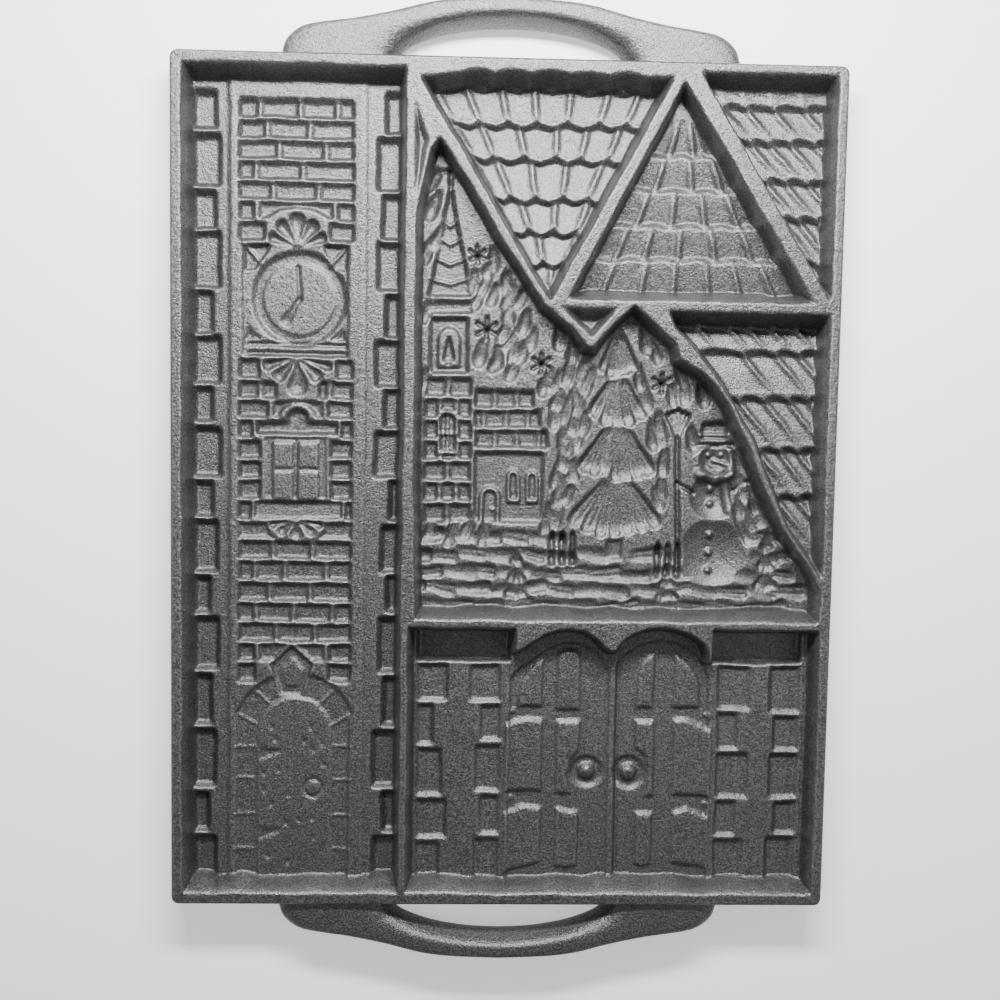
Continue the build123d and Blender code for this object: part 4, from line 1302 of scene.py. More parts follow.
@dataclass
class StoneWall:
    """A stone wall beside the doors: two columns of stones under a deep lintel.

    A stone is its top, its bottom and where it ends towards the joint in the middle.
    """

    outer_x: float
    inner_x: float
    left_stones: Sequence[tuple[float, float, float]]
    right_stones: Sequence[tuple[float, float, float]]
    lintel: tuple[float, float]
    depth: float = 2.0

    def press(self, relief: Relief) -> None:
        """Sink the lintel and the stones.

        Args:
            relief: The relief to press into.
        """
        start, end = self.lintel
        relief.sink(rectangle(start, end, -67.6, -50.0), 3.2, Slopes(1.0, 0.9, 1.3))
        stones = [(self.outer_x, x, top, bottom) for top, bottom, x in self.left_stones]
        stones += [(x, self.inner_x, top, bottom) for top, bottom, x in self.right_stones]
        for x0, x1, top, bottom in stones:
            stone = rectangle(x0, x1, bottom, top + 0.3)
            relief.sink(stone, self.depth, Slopes(2.0, 1.8, 1.9), tilt=0.4)


@dataclass
class DoorLeaf:
    """One arched door leaf: its outline, raised planks, nails and a pull ring."""

    arch: Outline
    planks: Sequence[Outline]
    ring: Point
    ring_radius: float
    nails: Sequence[Point] = ()

    def press(self, relief: Relief) -> None:
        """Press the leaf.

        Args:
            relief: The relief to press into.
        """
        for plank in self.planks:
            relief.sink(plank, -1.4, Slopes(2.0, 1.5, 2.0), convex=False)
        for nail in self.nails:
            relief.ball(nail, 1.5, -0.7)
        relief.ring(self.ring, self.ring_radius + 0.8, 2.2, 1.3, 1.9)
        relief.ball((self.ring[0], self.ring[1] + 0.3), 3.0, -1.2)
        relief.ball((self.ring[0] + 0.1, self.ring[1] + 1.0), 1.5, -0.5)


@dataclass
class DoorRelief:
    """The door compartment: two stone walls and two arched door leaves."""

    leaf_floor: float = 4.6

    def walls(self) -> list[StoneWall]:
        """The stone walls left and right of the doors.

        Returns:
            The left and the right wall.
        """
        left = StoneWall(
            -33.6, 0.2,
            [(-68.6, -83.8, -20.6), (-84.8, -101.2, -26.0), (-102.4, -121.8, -22.6),
             (-122.8, -138.6, -20.6), (-139.8, -155.5, -23.4)],
            [(-68.6, -83.8, -13.0), (-84.8, -99.2, -8.7), (-100.6, -120.2, -10.6),
             (-121.4, -137.2, -8.6), (-138.4, -155.5, -11.0)],
            lintel=(-33.4, 3.4),
        )
        right = StoneWall(
            85.2, 118.8,
            [(-68.6, -86.2, 99.2), (-87.2, -102.4, 94.6), (-103.4, -122.0, 99.2),
             (-123.0, -137.6, 94.6), (-138.6, -155.5, 98.0)],
            [(-68.6, -87.6, 105.8), (-88.6, -102.6, 107.8), (-103.6, -122.2, 106.6),
             (-123.2, -136.4, 108.8), (-137.4, -155.5, 106.0)],
            lintel=(82.6, 118.6),
        )
        return [left, right]

    def leaves(self) -> list[DoorLeaf]:
        """The two door leaves.

        Returns:
            The left and the right leaf.
        """
        left = DoorLeaf(
            arch=[(2.4, -157.0), (43.0, -157.0), (43.0, -71.0), (39.6, -64.6), (35.0, -61.2),
                  (29.4, -59.4), (23.6, -59.6), (17.4, -62.4), (10.6, -67.2), (6.6, -69.6),
                  (3.0, -74.0)],
            planks=[
                [(6.2, -86.0), (16.7, -86.0), (16.7, -65.4), (13.2, -67.2), (9.6, -70.8),
                 (7.2, -75.2), (6.2, -80.0)],
                arched(26.7, 5.1, -87.0, -67.0),
                [(1.2, -120.2), (16.9, -120.2), (16.9, -90.2), (9.0, -89.8), (6.0, -90.6),
                 (1.2, -92.6)],
                [(21.6, -121.0), (28.6, -121.0), (27.0, -113.0), (28.4, -107.0), (31.8, -102.6),
                 (31.8, -90.2), (21.6, -90.2)],
                [(1.2, -152.6), (16.9, -148.6), (16.9, -125.6), (9.0, -124.6), (6.0, -126.0),
                 (1.2, -128.2)],
                [(21.6, -150.2), (26.6, -151.2), (31.8, -150.2), (31.8, -127.2), (21.6, -125.6)],
            ],
            ring=(34.3, -111.7), ring_radius=6.3,
            nails=[(4.4, -87.4), (4.2, -122.6)],
        )
        right = DoorLeaf(
            arch=[(45.0, -157.0), (83.0, -157.0), (82.6, -73.0), (80.0, -68.0), (76.2, -63.0),
                  (70.0, -59.4), (62.4, -58.4), (55.0, -60.0), (49.4, -63.2), (45.0, -68.4)],
            planks=[
                [(53.4, -86.0), (60.8, -86.0), (60.8, -63.4), (57.0, -64.4), (54.4, -67.6),
                 (53.4, -72.0)],
                [(68.0, -86.0), (79.0, -86.0), (79.0, -76.0), (77.4, -71.4), (74.0, -67.0),
                 (68.0, -63.4)],
                [(57.0, -121.8), (61.4, -121.8), (61.4, -90.4), (53.2, -90.4), (53.2, -102.0),
                 (57.6, -106.0), (58.4, -113.0)],
                [(68.2, -121.6), (83.6, -121.6), (83.6, -94.6), (79.6, -92.0), (75.4, -90.2),
                 (72.0, -89.4), (68.2, -90.4)],
                [(53.6, -149.6), (57.4, -150.6), (61.2, -149.4), (61.2, -127.6), (53.6, -127.6)],
                [(68.4, -148.6), (83.6, -151.0), (83.6, -129.2), (78.8, -127.0), (74.4, -125.2),
                 (72.4, -126.2), (68.4, -127.4)],
            ],
            ring=(51.1, -112.0), ring_radius=6.6,
            nails=[(82.0, -88.8), (81.4, -124.6)],
        )
        return [left, right]

    def press(self, relief: Relief) -> None:
        """Lower and press both leaves, then press the walls and the gaps beside the leaves.

        Args:
            relief: The relief to press into.
        """
        for leaf in self.leaves():
            relief.level(leaf.arch, self.leaf_floor, Slopes(1.4, 1.0, 1.0), convex=False)
            leaf.press(relief)
        for wall in self.walls():
            wall.press(relief)
        relief.groove([(46.3, -66.0), (46.0, -100.0), (46.4, -156.0)], 1.2, 0.9, 1.2)
        relief.groove([(0.6, -72.0), (0.6, -156.0)], 0.6, 0.35, 0.9)
        relief.groove([(84.6, -72.0), (84.6, -156.0)], 0.7, 0.4, 0.9)


@dataclass
class WinterScene:
    """A winter picture of our own: a chapel, fir trees and a snowman among snowy branches.

    Attributes:
        seed: Picks the random draws of snow and branches.
        chapel_x: Axis of the chapel's tower.
        snowman_x: Axis of the snowman.
        taken: Centre and radius of the places the main forms hold, which the branches leave clear.
    """

    seed: int = 21
    chapel_x: float = -22.5
    snowman_x: float = 82.0
    taken: list[tuple[float, float, float]] = field(default_factory=list)

    def press(self, relief: Relief) -> None:
        """Press the whole picture.

        Args:
            relief: The relief to press into.
        """
        self.press_crystals(relief)
        self.press_chapel(relief)
        self.press_fir(relief, (43.4, -27.0), [
            (64.0, 43.0, 8.6), (48.0, 24.0, 13.4), (30.0, 3.6, 17.6), (10.0, -18.4, 21.6),
        ])
        self.press_snowman(relief)
        for x, y, height in ((103.4, -38.0, 24.0), (5.0, -42.0, 19.0), (64.6, -42.6, 15.0)):
            third = height / 3
            tiers = [
                (y + height - third * n, y + height - third * (n + 1.25), 2.6 + 1.5 * n)
                for n in range(3)
            ]
            self.press_fir(relief, (x, y - 1.6), tiers)
        self.press_snow(relief)
        self.press_branches(relief)

    def keep_clear(self, x: float, y: float, radius: float) -> None:
        """Keep the background off a round place."""
        self.taken.append((x, y, radius))

    @staticmethod
    def in_picture(x: float, y: float) -> bool:
        """True if a place lies inside the picture's compartment."""
        return bool(inside_outline(np.array([x]), np.array([y]), PICTURE)[0])

    def is_clear(self, x: float, y: float, reach: float) -> bool:
        """True if nothing lies within reach of a place."""
        return all(math.hypot(x - a, y - b) > r + reach for a, b, r in self.taken)

    def press_chapel(self, relief: Relief) -> None:
        """Chapel at the left: steeple, belfry, stone tower and tiled nave.

        Args:
            relief: The relief to press into.
        """
        self.press_steeple(relief)
        self.press_chapel_tower(relief)
        self.press_nave(relief)
        axis = self.chapel_x
        for x, y, radius in (
            (axis, 80.0, 8.0), (axis, 92.0, 5.5), (axis, 104.0, 4.0), (axis, 116.0, 3.4),
            (axis, 60.0, 9.5), (axis, 50.0, 9.5), (axis, 32.0, 11.0), (axis, 14.0, 11.0),
            (axis, -4.0, 11.0), (-4.0, 28.0, 12.0), (6.0, 26.0, 11.0), (-2.0, 6.0, 13.0),
            (4.0, -4.0, 13.0), (12.0, 18.0, 6.0), (-10.0, 36.0, 4.0),
        ):
            self.keep_clear(x, y, radius)

    def press_steeple(self, relief: Relief) -> None:
        """Steeple with a cross on top, and the belfry with its bell under it.

        Args:
            relief: The relief to press into.
        """
        axis = self.chapel_x
        relief.sink([(-31.4, 74.0), (-13.6, 74.0), (axis, 120.0)], 2.8, Slopes(1.4, 1.6, 1.4))
        relief.groove([(axis, 116.0), (axis, 124.4)], 1.6, 1.8, 1.0)
        relief.groove([(-25.2, 121.4), (-19.8, 121.4)], 1.5, 1.8, 1.0)
        for level, half in ((81.0, 7.0), (88.6, 5.4), (96.2, 3.8), (103.0, 2.4)):
            line = [(axis - half, level), (axis, level - 2.2), (axis + half, level)]
            relief.groove(line, 0.8, -1.5, 1.4)
        relief.sink(rectangle(-32.0, -13.0, 67.4, 73.2), 2.2)
        relief.sink(rectangle(-30.4, -14.6, 44.2, 66.8), 2.6)
        relief.sink(arched(axis, 4.5, 46.6, 58.4), -1.7, Slopes(1.2, 0.9, 1.0), convex=False)
        bell = [
            (-25.8, 49.0), (-19.2, 49.0), (-20.6, 54.0), (-21.2, 59.0), (-23.8, 59.0), (-24.4, 54.0),
        ]
        relief.sink(bell, 1.9, Slopes(1.0, 0.8, 1.0))
        relief.dish((axis, 48.2), 1.2, 1.4)

    def press_chapel_tower(self, relief: Relief) -> None:
        """Seven courses of stones and a barred window.

        Args:
            relief: The relief to press into.
        """
        axis = self.chapel_x
        bounds = ((-32.0, -22.9, -22.1, -13.0), (-32.0, -25.9, -25.1, -19.4, -18.6, -13.0))
        for row in range(7):
            top = 43.2 - 8.1 * row
            ends = bounds[row % 2]
            BrickRow(top, top - 7.8, list(zip(ends[::2], ends[1::2]))).press(relief)
        relief.level(arched(axis, 4.5, 13.0, 26.4), 5.4, Slopes(1.0, 0.9, 1.0), convex=False)
        relief.sink(arched(axis, 3.1, 14.6, 26.4), 2.0, Slopes(1.2, 0.8, 1.2), convex=False)
        for bar in ([(axis, 15.0), (axis, 29.6)], [(-25.6, 21.4), (-19.4, 21.4)]):
            relief.groove(bar, 0.7, -1.4, 0.9)

    @staticmethod
    def press_nave(relief: Relief) -> None:
        """Nave: three rows of roof tiles over a wall with a door and two windows.

        Args:
            relief: The relief to press into.
        """
        for row in range(3):
            top = 39.0 - 7.7 * row
            end = 19.6 - (top - 16.2) * 0.36
            places = np.arange(-12.6 - (4.2 if row % 2 else 0.0), end, 8.6)
            tiles = [(max(-12.6, float(start)), min(end, float(start) + 8.0)) for start in places]
            tiles = [tile for tile in tiles if tile[1] - tile[0] > 2.0]
            BrickRow(top, top - 7.4, tiles, depth=2.6, course_share=0.6).press(relief)
        relief.sink(rectangle(-12.6, 15.4, -13.4, 15.2), 2.2)
        relief.sink(arched(-6.0, 4.4, -13.0, -2.6), -1.6, Slopes(1.2, 0.9, 0.8), convex=False)
        relief.sink(arched(-6.0, 2.8, -13.0, -2.6), 1.7, Slopes(1.0, 0.7, 0.8), convex=False)
        relief.ball((-4.6, -8.0), 1.0, -1.0)
        for x in (3.2, 10.6):
            relief.sink(arched(x, 2.8, -5.4, 5.0, 7), -1.6, Slopes(1.1, 0.8, 1.0), convex=False)
            relief.sink(arched(x, 1.6, -4.0, 5.0, 7), 1.6, Slopes(1.0, 0.7, 1.0), convex=False)

    def press_fir(self, relief: Relief, foot: Point,
                  tiers: Sequence[tuple[float, float, float]]) -> None:
        """A fir: tiers of hanging boughs that spread from the stem, and a short trunk.

        Args:
            relief: The relief to press into.
            foot: Middle of the trunk's foot.
            tiers: Top, bottom and half width of each tier.
        """
        cx, base_y = foot
        rng = np.random.default_rng(round(abs(cx)))
        for top, bottom, half in tiers:
            count = 3 + 2 * round(half / 9.0)
            for index in range(count):
                share = (2.0 * index + 1.0) / count - 1.0
                root = (cx + share * half * 0.12, top - 0.12 * (top - bottom) * abs(share))
                rise = 0.18 * (top - bottom) * abs(share) ** 1.5
                tip = (cx + share * half * 0.94, bottom + rise)
                tip = (tip[0], tip[1] + rng.uniform(-1.2, 1.2) * half / 14.0)
                relief.lobe(root, tip, (1.6, 2.0 * half / count + 2.4), rng.uniform(3.0, 4.0),
                            flutes=1.0 if half > 8.0 else 0.0, taper=0.8)
            self.keep_clear(cx, (top + bottom) / 2, half * 0.62)
            self.keep_clear(cx - half * 0.5, bottom + 2.0, half * 0.42)
            self.keep_clear(cx + half * 0.5, bottom + 2.0, half * 0.42)
        width = 0.16 * max(tier[2] for tier in tiers)
        trunk_top = min(tier[1] for tier in tiers)
        relief.sink(rectangle(cx - width, cx + width, base_y, trunk_top), 2.0)
        self.keep_clear(cx, (base_y + trunk_top) / 2, width + 1.0)

    def press_snowman(self, relief: Relief) -> None:
        """Snowman with a brimmed hat, a scarf, a broom, buttons and a carrot nose.

        Args:
            relief: The relief to press into.
        """
        cx = self.snowman_x
        for cy, radius in ((-24.0, 13.6), (-1.6, 9.6), (12.6, 6.2)):
            relief.ball((cx, cy), radius, 4.0)
            self.keep_clear(cx, cy, radius + 0.2)
        relief.sink(rectangle(cx - 9.4, cx + 8.6, 17.0, 20.2), 2.6)
        crown = [(cx - 6.2, 20.0), (cx + 4.8, 20.0), (cx + 5.4, 28.4), (cx - 5.8, 28.0)]
        relief.sink(crown, 2.9)
        relief.groove([(cx - 6.0, 22.2), (cx + 4.8, 22.4)], 1.2, -1.5, 1.0)
        self.keep_clear(cx, 22.6, 7.2)
        relief.groove([(cx - 6.4, 7.2), (cx, 5.0), (cx + 6.4, 7.4)], 3.0, -1.9, 1.4)
        relief.groove([(cx + 3.8, 5.6), (cx + 6.2, -6.8)], 2.8, -1.8, 1.4)
        for x in (cx - 2.2, cx + 2.2):
            relief.ball((x, 14.4), 1.2, -1.8)
        relief.groove([(cx, 12.4), (cx + 4.4, 11.0)], 1.2, -1.9, 1.0)
        relief.groove([(cx - 2.6, 9.8), (cx - 0.4, 8.8), (cx + 2.0, 9.2)], 0.6, -1.2, 0.8)
        for y in (1.4, -4.4, -16.6, -23.6, -30.6):
            relief.ball((cx - 1.0, y), 1.6, -1.8)
        relief.groove([(cx + 8.0, 0.6), (cx + 13.0, 4.4), (cx + 16.4, 3.4)], 1.3, 2.0, 1.0)
        relief.groove([(cx - 7.8, -0.4), (cx - 14.6, 3.6)], 1.3, 2.0, 1.0)
        relief.groove([(cx - 15.0, 21.6), (cx - 13.4, -29.0)], 1.6, 2.2, 1.0)
        for index in range(5):
            x = cx - 19.4 + 2.2 * index
            relief.lobe((cx - 15.0, 20.6), (x, 33.0 - abs(index - 2) * 1.0), (1.2, 3.0), 3.0)
        for y in (26.0, 10.0, -6.0, -20.0):
            self.keep_clear(cx - 14.4, y, 5.0)

    def press_snow(self, relief: Relief) -> None:
        """Snow drifts along the foot of the picture, and fences on both sides of the fir.

        Args:
            relief: The relief to press into.
        """
        rng = np.random.default_rng(self.seed + 2)
        for row, y in enumerate((-18.6, -25.4, -32.4, -39.2, -45.4)):
            for x in np.arange(-30.0 - 5.5 * (row % 2), 118.0, 11.4):
                px, py = x + rng.uniform(-1.6, 1.6), y + rng.uniform(-1.0, 1.0)
                if not self.is_clear(px, py, -1.0):
                    continue
                reach, lean = rng.uniform(6.4, 9.4), rng.uniform(-1.8, 1.8)
                start, end = (px - reach, py + lean), (px + reach, py - lean)
                relief.lobe(start, end, (4.0, rng.uniform(5.0, 7.6)), rng.uniform(1.8, 2.8),
                            flutes=rng.choice((0.0, 1.0)))
        for first, foot, top in ((19.0, -29.6, -17.4), (60.4, -33.6, -21.4)):
            for x in (first, first + 4.0, first + 8.0):
                post = rectangle(x - 1.3, x + 1.3, foot, top)
                post.insert(3, (x, top + 2.2))
                relief.sink(post, 2.4, Slopes(0.9, 0.8, 1.0))
        self.keep_clear(23.0, -22.0, 5.6)
        self.keep_clear(64.4, -26.0, 5.6)

    def press_crystals(self, relief: Relief) -> None:
        """A few snow crystals of six arms.

        Args:
            relief: The relief to press into.
        """
        for x, y, radius in (
            (-8.0, 62.0, 4.2), (13.4, 49.0, 3.8), (60.6, 42.0, 3.8), (-12.0, 90.0, 3.4),
        ):
            for arm in range(3):
                angle = math.radians(30.0 + 60.0 * arm)
                dx, dy = radius * math.cos(angle), radius * math.sin(angle)
                relief.groove([(x - dx, y - dy), (x + dx, y + dy)], 1.0, 2.2, 1.0)
            self.keep_clear(x, y, radius + 1.4)

    def press_branches(self, relief: Relief) -> None:
        """Fill the background with hanging boughs in rows that overlap like feathers.

        Args:
            relief: The relief to press into.
        """
        rng = np.random.default_rng(self.seed + 1)
        fir_x = 43.4
        for row, y in enumerate(np.arange(-8.0, 131.0, 5.2)):
            for x in np.arange(-33.0 + 2.7 * (row % 2), 121.0, 5.4):
                px, py = x + rng.uniform(-1.2, 1.2), y + rng.uniform(-1.4, 1.4)
                lean = 0.35 * math.tanh((px - fir_x) / 30.0) + rng.uniform(-0.3, 0.3)
                length = rng.uniform(11.0, 15.0)
                tip = (px + length * math.sin(lean), py - length * math.cos(lean))
                middle = ((px + tip[0]) / 2, (py + tip[1]) / 2)
                if not all(self.in_picture(*place) for place in ((px, py), middle, tip)):
                    continue
                if not self.is_clear(*tip, 1.0) or not self.is_clear(*middle, 0.4):
                    continue
                relief.lobe((px, py), tip, (3.0, rng.uniform(6.4, 8.4)), rng.uniform(2.8, 4.0),
                            flutes=rng.choice((1.0, 2.0, 3.0)), taper=rng.uniform(0.7, 1.2))


@dataclass
class Casting:
    """The face as separate closed pieces, one per CAD node, that meet along shared seams.

    Attributes:
        relief: The finished relief.
        nodes: The CAD nodes by name.
        back_inset: How far the back's outer edge is taken in, in mm.
        back_edge: Height at which that begins, in mm.
        edge_normal: Outward and upward share of the normals on the face's rounded outer edge.
        side_painted_shade: Value of the painted light attribute on the sides and the back, 0..1; it
            lies below the faces' 0.5, so they are painted a little darker, as shade.
    """

    relief: Relief
    nodes: dict[str, bpy.types.Object]
    back_inset: float = 0.6
    back_edge: float = 0.8
    edge_normal: Point = (0.92, 0.40)
    side_painted_shade: float = 0.35

    @staticmethod
    def back_triangles(node: bpy.types.Object) -> Array:
        """Plan corners, in mm, of the node's triangles that lie on the back plane.

        Args:
            node: The CAD node.

        Returns:
            Three plan corners per triangle.
        """
        mesh = node.data
        mesh.calc_loop_triangles()
        places = np.zeros(len(mesh.vertices) * 3)
        mesh.vertices.foreach_get("co", places)
        places = places.reshape(-1, 3) / MM
        index = np.zeros(len(mesh.loop_triangles) * 3, np.int32)
        mesh.loop_triangles.foreach_get("vertices", index)
        corners = places[index.reshape(-1, 3)]
        return corners[(np.abs(corners[:, :, 2]) < 0.01).all(1)][:, :, :2]

    def label_cells(self) -> tuple[list[str], Array]:
        """Which node each cell of the grid belongs to.

        Returns:
            The nodes' names and, per cell, an index into them.
        """
        across = (self.relief.xs[1:] + self.relief.xs[:-1]) / 2
        along = (self.relief.ys[1:] + self.relief.ys[:-1]) / 2
        names = []
        labels = np.full((len(along), len(across)), -1)
        for name, node in sorted(self.nodes.items()):
            triangles = self.back_triangles(node)
            if len(triangles) == 0:
                continue
            for corners in triangles:
                self.mark_triangle(labels, corners, across, along, len(names))
            names.append(name)
        while (labels < 0).any():
            for axis, step in ((0, 1), (0, -1), (1, 1), (1, -1)):
                shifted = np.roll(labels, step, axis)
                labels = np.where(labels < 0, shifted, labels)
        return names, self.without_pinches(labels)

    @staticmethod
    def mark_triangle(labels: Array, corners: Array, across: Array, along: Array,
                      index: int) -> None:
        """Write an index into the cells whose centres a triangle covers.

        Args:
            labels: The cells' indices, which it changes.
            corners: The triangle's corners in plan, in mm.
            across: Centres of the cells across.
            along: Centres of the cells along.
            index: The index to write.
        """
        i0, i1 = np.searchsorted(across, (corners[:, 0].min(), corners[:, 0].max()))
        j0, j1 = np.searchsorted(along, (corners[:, 1].min(), corners[:, 1].max()))
        if i1 <= i0 or j1 <= j0:
            return
        x, y = np.meshgrid(across[i0:i1], along[j0:j1])
        sides = []
        for start, end in zip(corners, np.roll(corners, -1, axis=0)):
            dx, dy = end - start
            sides.append(dx * (y - start[1]) - dy * (x - start[0]))
        covered = np.all([s >= 0 for s in sides], axis=0) | np.all([s <= 0 for s in sides], axis=0)
        labels[j0:j1, i0:i1][covered] = index

    @staticmethod
    def without_pinches(labels: Array) -> Array:
        """Give up cells that touch their own region at a corner only, which would pinch a mesh.

        Args:
            labels: The cells' indices.

        Returns:
            The mended indices.
        """
        for _ in range(40):
            low_left, low_right = labels[:-1, :-1], labels[:-1, 1:]
            up_left, up_right = labels[1:, :-1], labels[1:, 1:]
            rising = (low_left == up_right) & (low_right != low_left) & (up_left != low_left)
            falling = (low_right == up_left) & (low_left != low_right) & (up_right != low_right)
            if not (rising.any() or falling.any()):
                break
            labels = labels.copy()
            labels[:-1, 1:][rising] = labels[:-1, :-1][rising]
            still = falling & (labels[:-1, 1:] == labels[1:, :-1])
            labels[:-1, :-1][still] = labels[:-1, 1:][still]
        return labels

    def outward(self, x: Array, y: Array) -> Array:
        """Outward direction in plan of places near the face's outline, and 0 elsewhere.

        Args:
            x: Places across, in mm.
            y: Places along, in mm.

        Returns:
            A unit direction, or 0, per place.
        """
        inner_x = self.relief.width / 2 - self.relief.corner_radius
        inner_y = self.relief.length / 2 - self.relief.corner_radius
        direction = np.stack([
            np.sign(x) * np.maximum(np.abs(x) - inner_x, 0.0),
            np.sign(y) * np.maximum(np.abs(y) - inner_y, 0.0),
        ], -1)
        return direction / np.maximum(np.linalg.norm(direction, axis=-1, keepdims=True), 1e-9)

    @staticmethod
    def outline_edges(mask: Array) -> tuple[Array, Array]:
        """Directed sides of a region's outline, with the region on their left.

        Args:
            mask: The region's cells.

        Returns:
            The grid corners where the sides start and where they end.
        """
        stride = mask.shape[1] + 1
        padded = np.pad(mask, 1)
        j, i = np.nonzero(mask)
        corner = j * stride + i
        starts, ends = [], []
        for dj, di, start, end in (
            (-1, 0, 0, 1), (0, 1, 1, stride + 1), (1, 0, stride + 1, stride), (0, -1, stride, 0),
        ):
            open_side = ~padded[j + 1 + dj, i + 1 + di]
            starts.append(corner[open_side] + start)
            ends.append(corner[open_side] + end)
        return np.concatenate(starts), np.concatenate(ends)

    @staticmethod
    def trace(starts: Array, ends: Array) -> list[Array]:
        """Order a region's sides into closed loops.

        Each side points at the next. Pointers are doubled, i -> next(next(i)), so that in
        log2(n) steps every side learns its loop's lowest side and how far it is from it.

        Args:
            starts: Grid corner where each side starts.
            ends: Grid corner where it ends.

        Returns:
            The grid corners of each loop, in order.
        """
        count = len(starts)
        order = np.argsort(starts)
        following = order[np.searchsorted(starts[order], ends)]
        rounds = int(math.log2(count)) + 2
        lowest, jump = np.arange(count), following
        for _ in range(rounds):
            lowest = np.minimum(lowest, lowest[jump])
            jump = jump[jump]
        head = lowest == np.arange(count)
        hop = np.where(head, np.arange(count), following)
        steps = np.where(head, 0, 1)
        for _ in range(rounds):
            steps = steps + steps[hop]
            hop = hop[hop]
        steps = np.where(head, count + 1, steps)
        ranked = np.lexsort((-steps, lowest))
        breaks = np.flatnonzero(np.diff(lowest[ranked])) + 1
        return [starts[loop] for loop in np.split(ranked, breaks)]

    def piece(self, name: str, mask: Array, normals: Array, painted_light_and_wear: Array) -> bpy.types.Object:
        """Build one closed piece: its share of the face, upright sides and a flat back.

        Args:
            name: The CAD node's name.
            mask: The node's cells.
            normals: Normals of the whole relief.
            painted_light_and_wear: Per place of the relief, 0..1: low in the hollows, which the finish
                paints darker as shade, and high on proud edges, which it paints paler as rubbing and
                as a painted highlight.

        Returns:
            The new object, linked to the scene.
        """
        relief = self.relief
        stride = mask.shape[1] + 1
        j, i = np.nonzero(mask)
        corner = j * stride + i
        quads = np.stack([corner, corner + 1, corner + stride + 1, corner + stride], 1)
        used = np.unique(quads)
        place_of = np.full((mask.shape[0] + 1) * stride, -1)
        place_of[used] = np.arange(len(used))
        starts, ends = self.outline_edges(mask)
        rim = np.unique(starts)
        edge_of = np.full(place_of.shape, -1)
        edge_of[rim] = np.arange(len(rim))
        x, y = relief.plan_x.ravel(), relief.plan_y.ravel()
        top = np.stack([x[used], y[used], relief.z.ravel()[used]], 1)
        outer = relief.edge_distance().ravel()[rim] < 1e-6
        outward = self.outward(x[rim], y[rim]) * outer[:, None]
        middle = np.stack([x[rim], y[rim], np.full(len(rim), self.back_edge)], 1)
        back = middle.copy()
        back[:, :2] -= self.back_inset * outward
        back[:, 2] = 0.0
        first_middle, first_back = len(used), len(used) + len(rim)
        top_start, top_end = place_of[starts], place_of[ends]
        mid_start, mid_end = edge_of[starts] + first_middle, edge_of[ends] + first_middle
        low_start, low_end = edge_of[starts] + first_back, edge_of[ends] + first_back
        faces = [place_of[quads]]
        faces.append(np.stack([mid_start, mid_end, top_end, top_start], 1))
        faces.append(np.stack([low_start, low_end, mid_end, mid_start], 1))
        quads = np.concatenate(faces)
        loops = [(edge_of[loop] + first_back)[::-1] for loop in self.trace(starts, ends)]
        vertices = np.concatenate([top, middle, back]) * MM
        top_normals = normals.reshape(-1, 3)[used].copy()
        on_edge = place_of[rim[outer]]
        top_normals[on_edge, :2] = outward[outer] * self.edge_normal[0]
        top_normals[on_edge, 2] = self.edge_normal[1]
        side_normals = np.concatenate([outward, np.zeros((len(rim), 1))], 1)
        side_normals[~outer] = (0.0, 0.0, -1.0)
        back_normals = np.tile((0.0, 0.0, -1.0), (len(rim), 1))
        directions = np.concatenate([top_normals, side_normals, back_normals])
        # The sides and the back are painted a little darker than the faces, as shade.
        worn_and_lit = np.concatenate([painted_light_and_wear.ravel()[used], np.full(2 * len(rim), self.side_painted_shade)])
        return make_object(f"{name}_surface", vertices, quads, loops, directions, worn_and_lit)

    def build(self, finish: IronFinish) -> list[bpy.types.Object]:
        """Cut the relief into its pieces and put each in the place of its CAD node.

        Args:
            finish: The iron's finish.

        Returns:
            The pieces.
        """
        names, labels = self.label_cells()
        normals = self.relief.normals()
        # Per place: painted shade in the hollows, and proud edges painted paler as rubbing and as a
        # painted highlight.
        painted_light_and_wear = painted_light_and_edge_wear(self.relief.z)
        pieces = []
        for index, name in enumerate(names):
            piece = self.piece(name, labels == index, normals, painted_light_and_wear)
            put_in_place(piece, name, finish)
            pieces.append(piece)
        return pieces


def put_in_place(piece: bpy.types.Object, name: str, finish: IronFinish) -> None:
    """Dress a piece, let it ride on the body and let it stand for its CAD node.

    Args:
        piece: The piece.
        name: Name of its CAD node.
        finish: The iron's finish.
    """
    finish.dress(piece)
    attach(piece, "root")
    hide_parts(name)


def blurred(values: Array, reach: int) -> Array:
    """Box blur over (2 reach + 1) cells both ways, from running sums.

    Args:
        values: Values on the grid.
        reach: Cells that the box reaches to each side.

    Returns:
        The blurred values.
    """
    for axis in (0, 1):
        pad = [(reach + 1, reach) if a == axis else (0, 0) for a in (0, 1)]
        total = np.cumsum(np.pad(values, pad, mode="edge"), axis=axis)
        width = 2 * reach + 1
        upper = np.take(total, np.arange(width, total.shape[axis]), axis)
        lower = np.take(total, np.arange(0, total.shape[axis] - width), axis)
        values = (upper - lower) / width
    return values


def painted_light_and_edge_wear(height: Array, light_and_wear_per_mm: float = 0.8) -> Array:
    """How far each place stands proud of its surroundings, scaled to 0..1 about 0.5; the finish paints
    shade into places below 0.5, in the hollows, and paints places above it paler, as rubbing and as a
    painted highlight of lit lips.
    """
    proud = height - blurred(blurred(height, 2), 2)
    return np.clip(0.5 + proud * light_and_wear_per_mm, 0.0, 1.0)


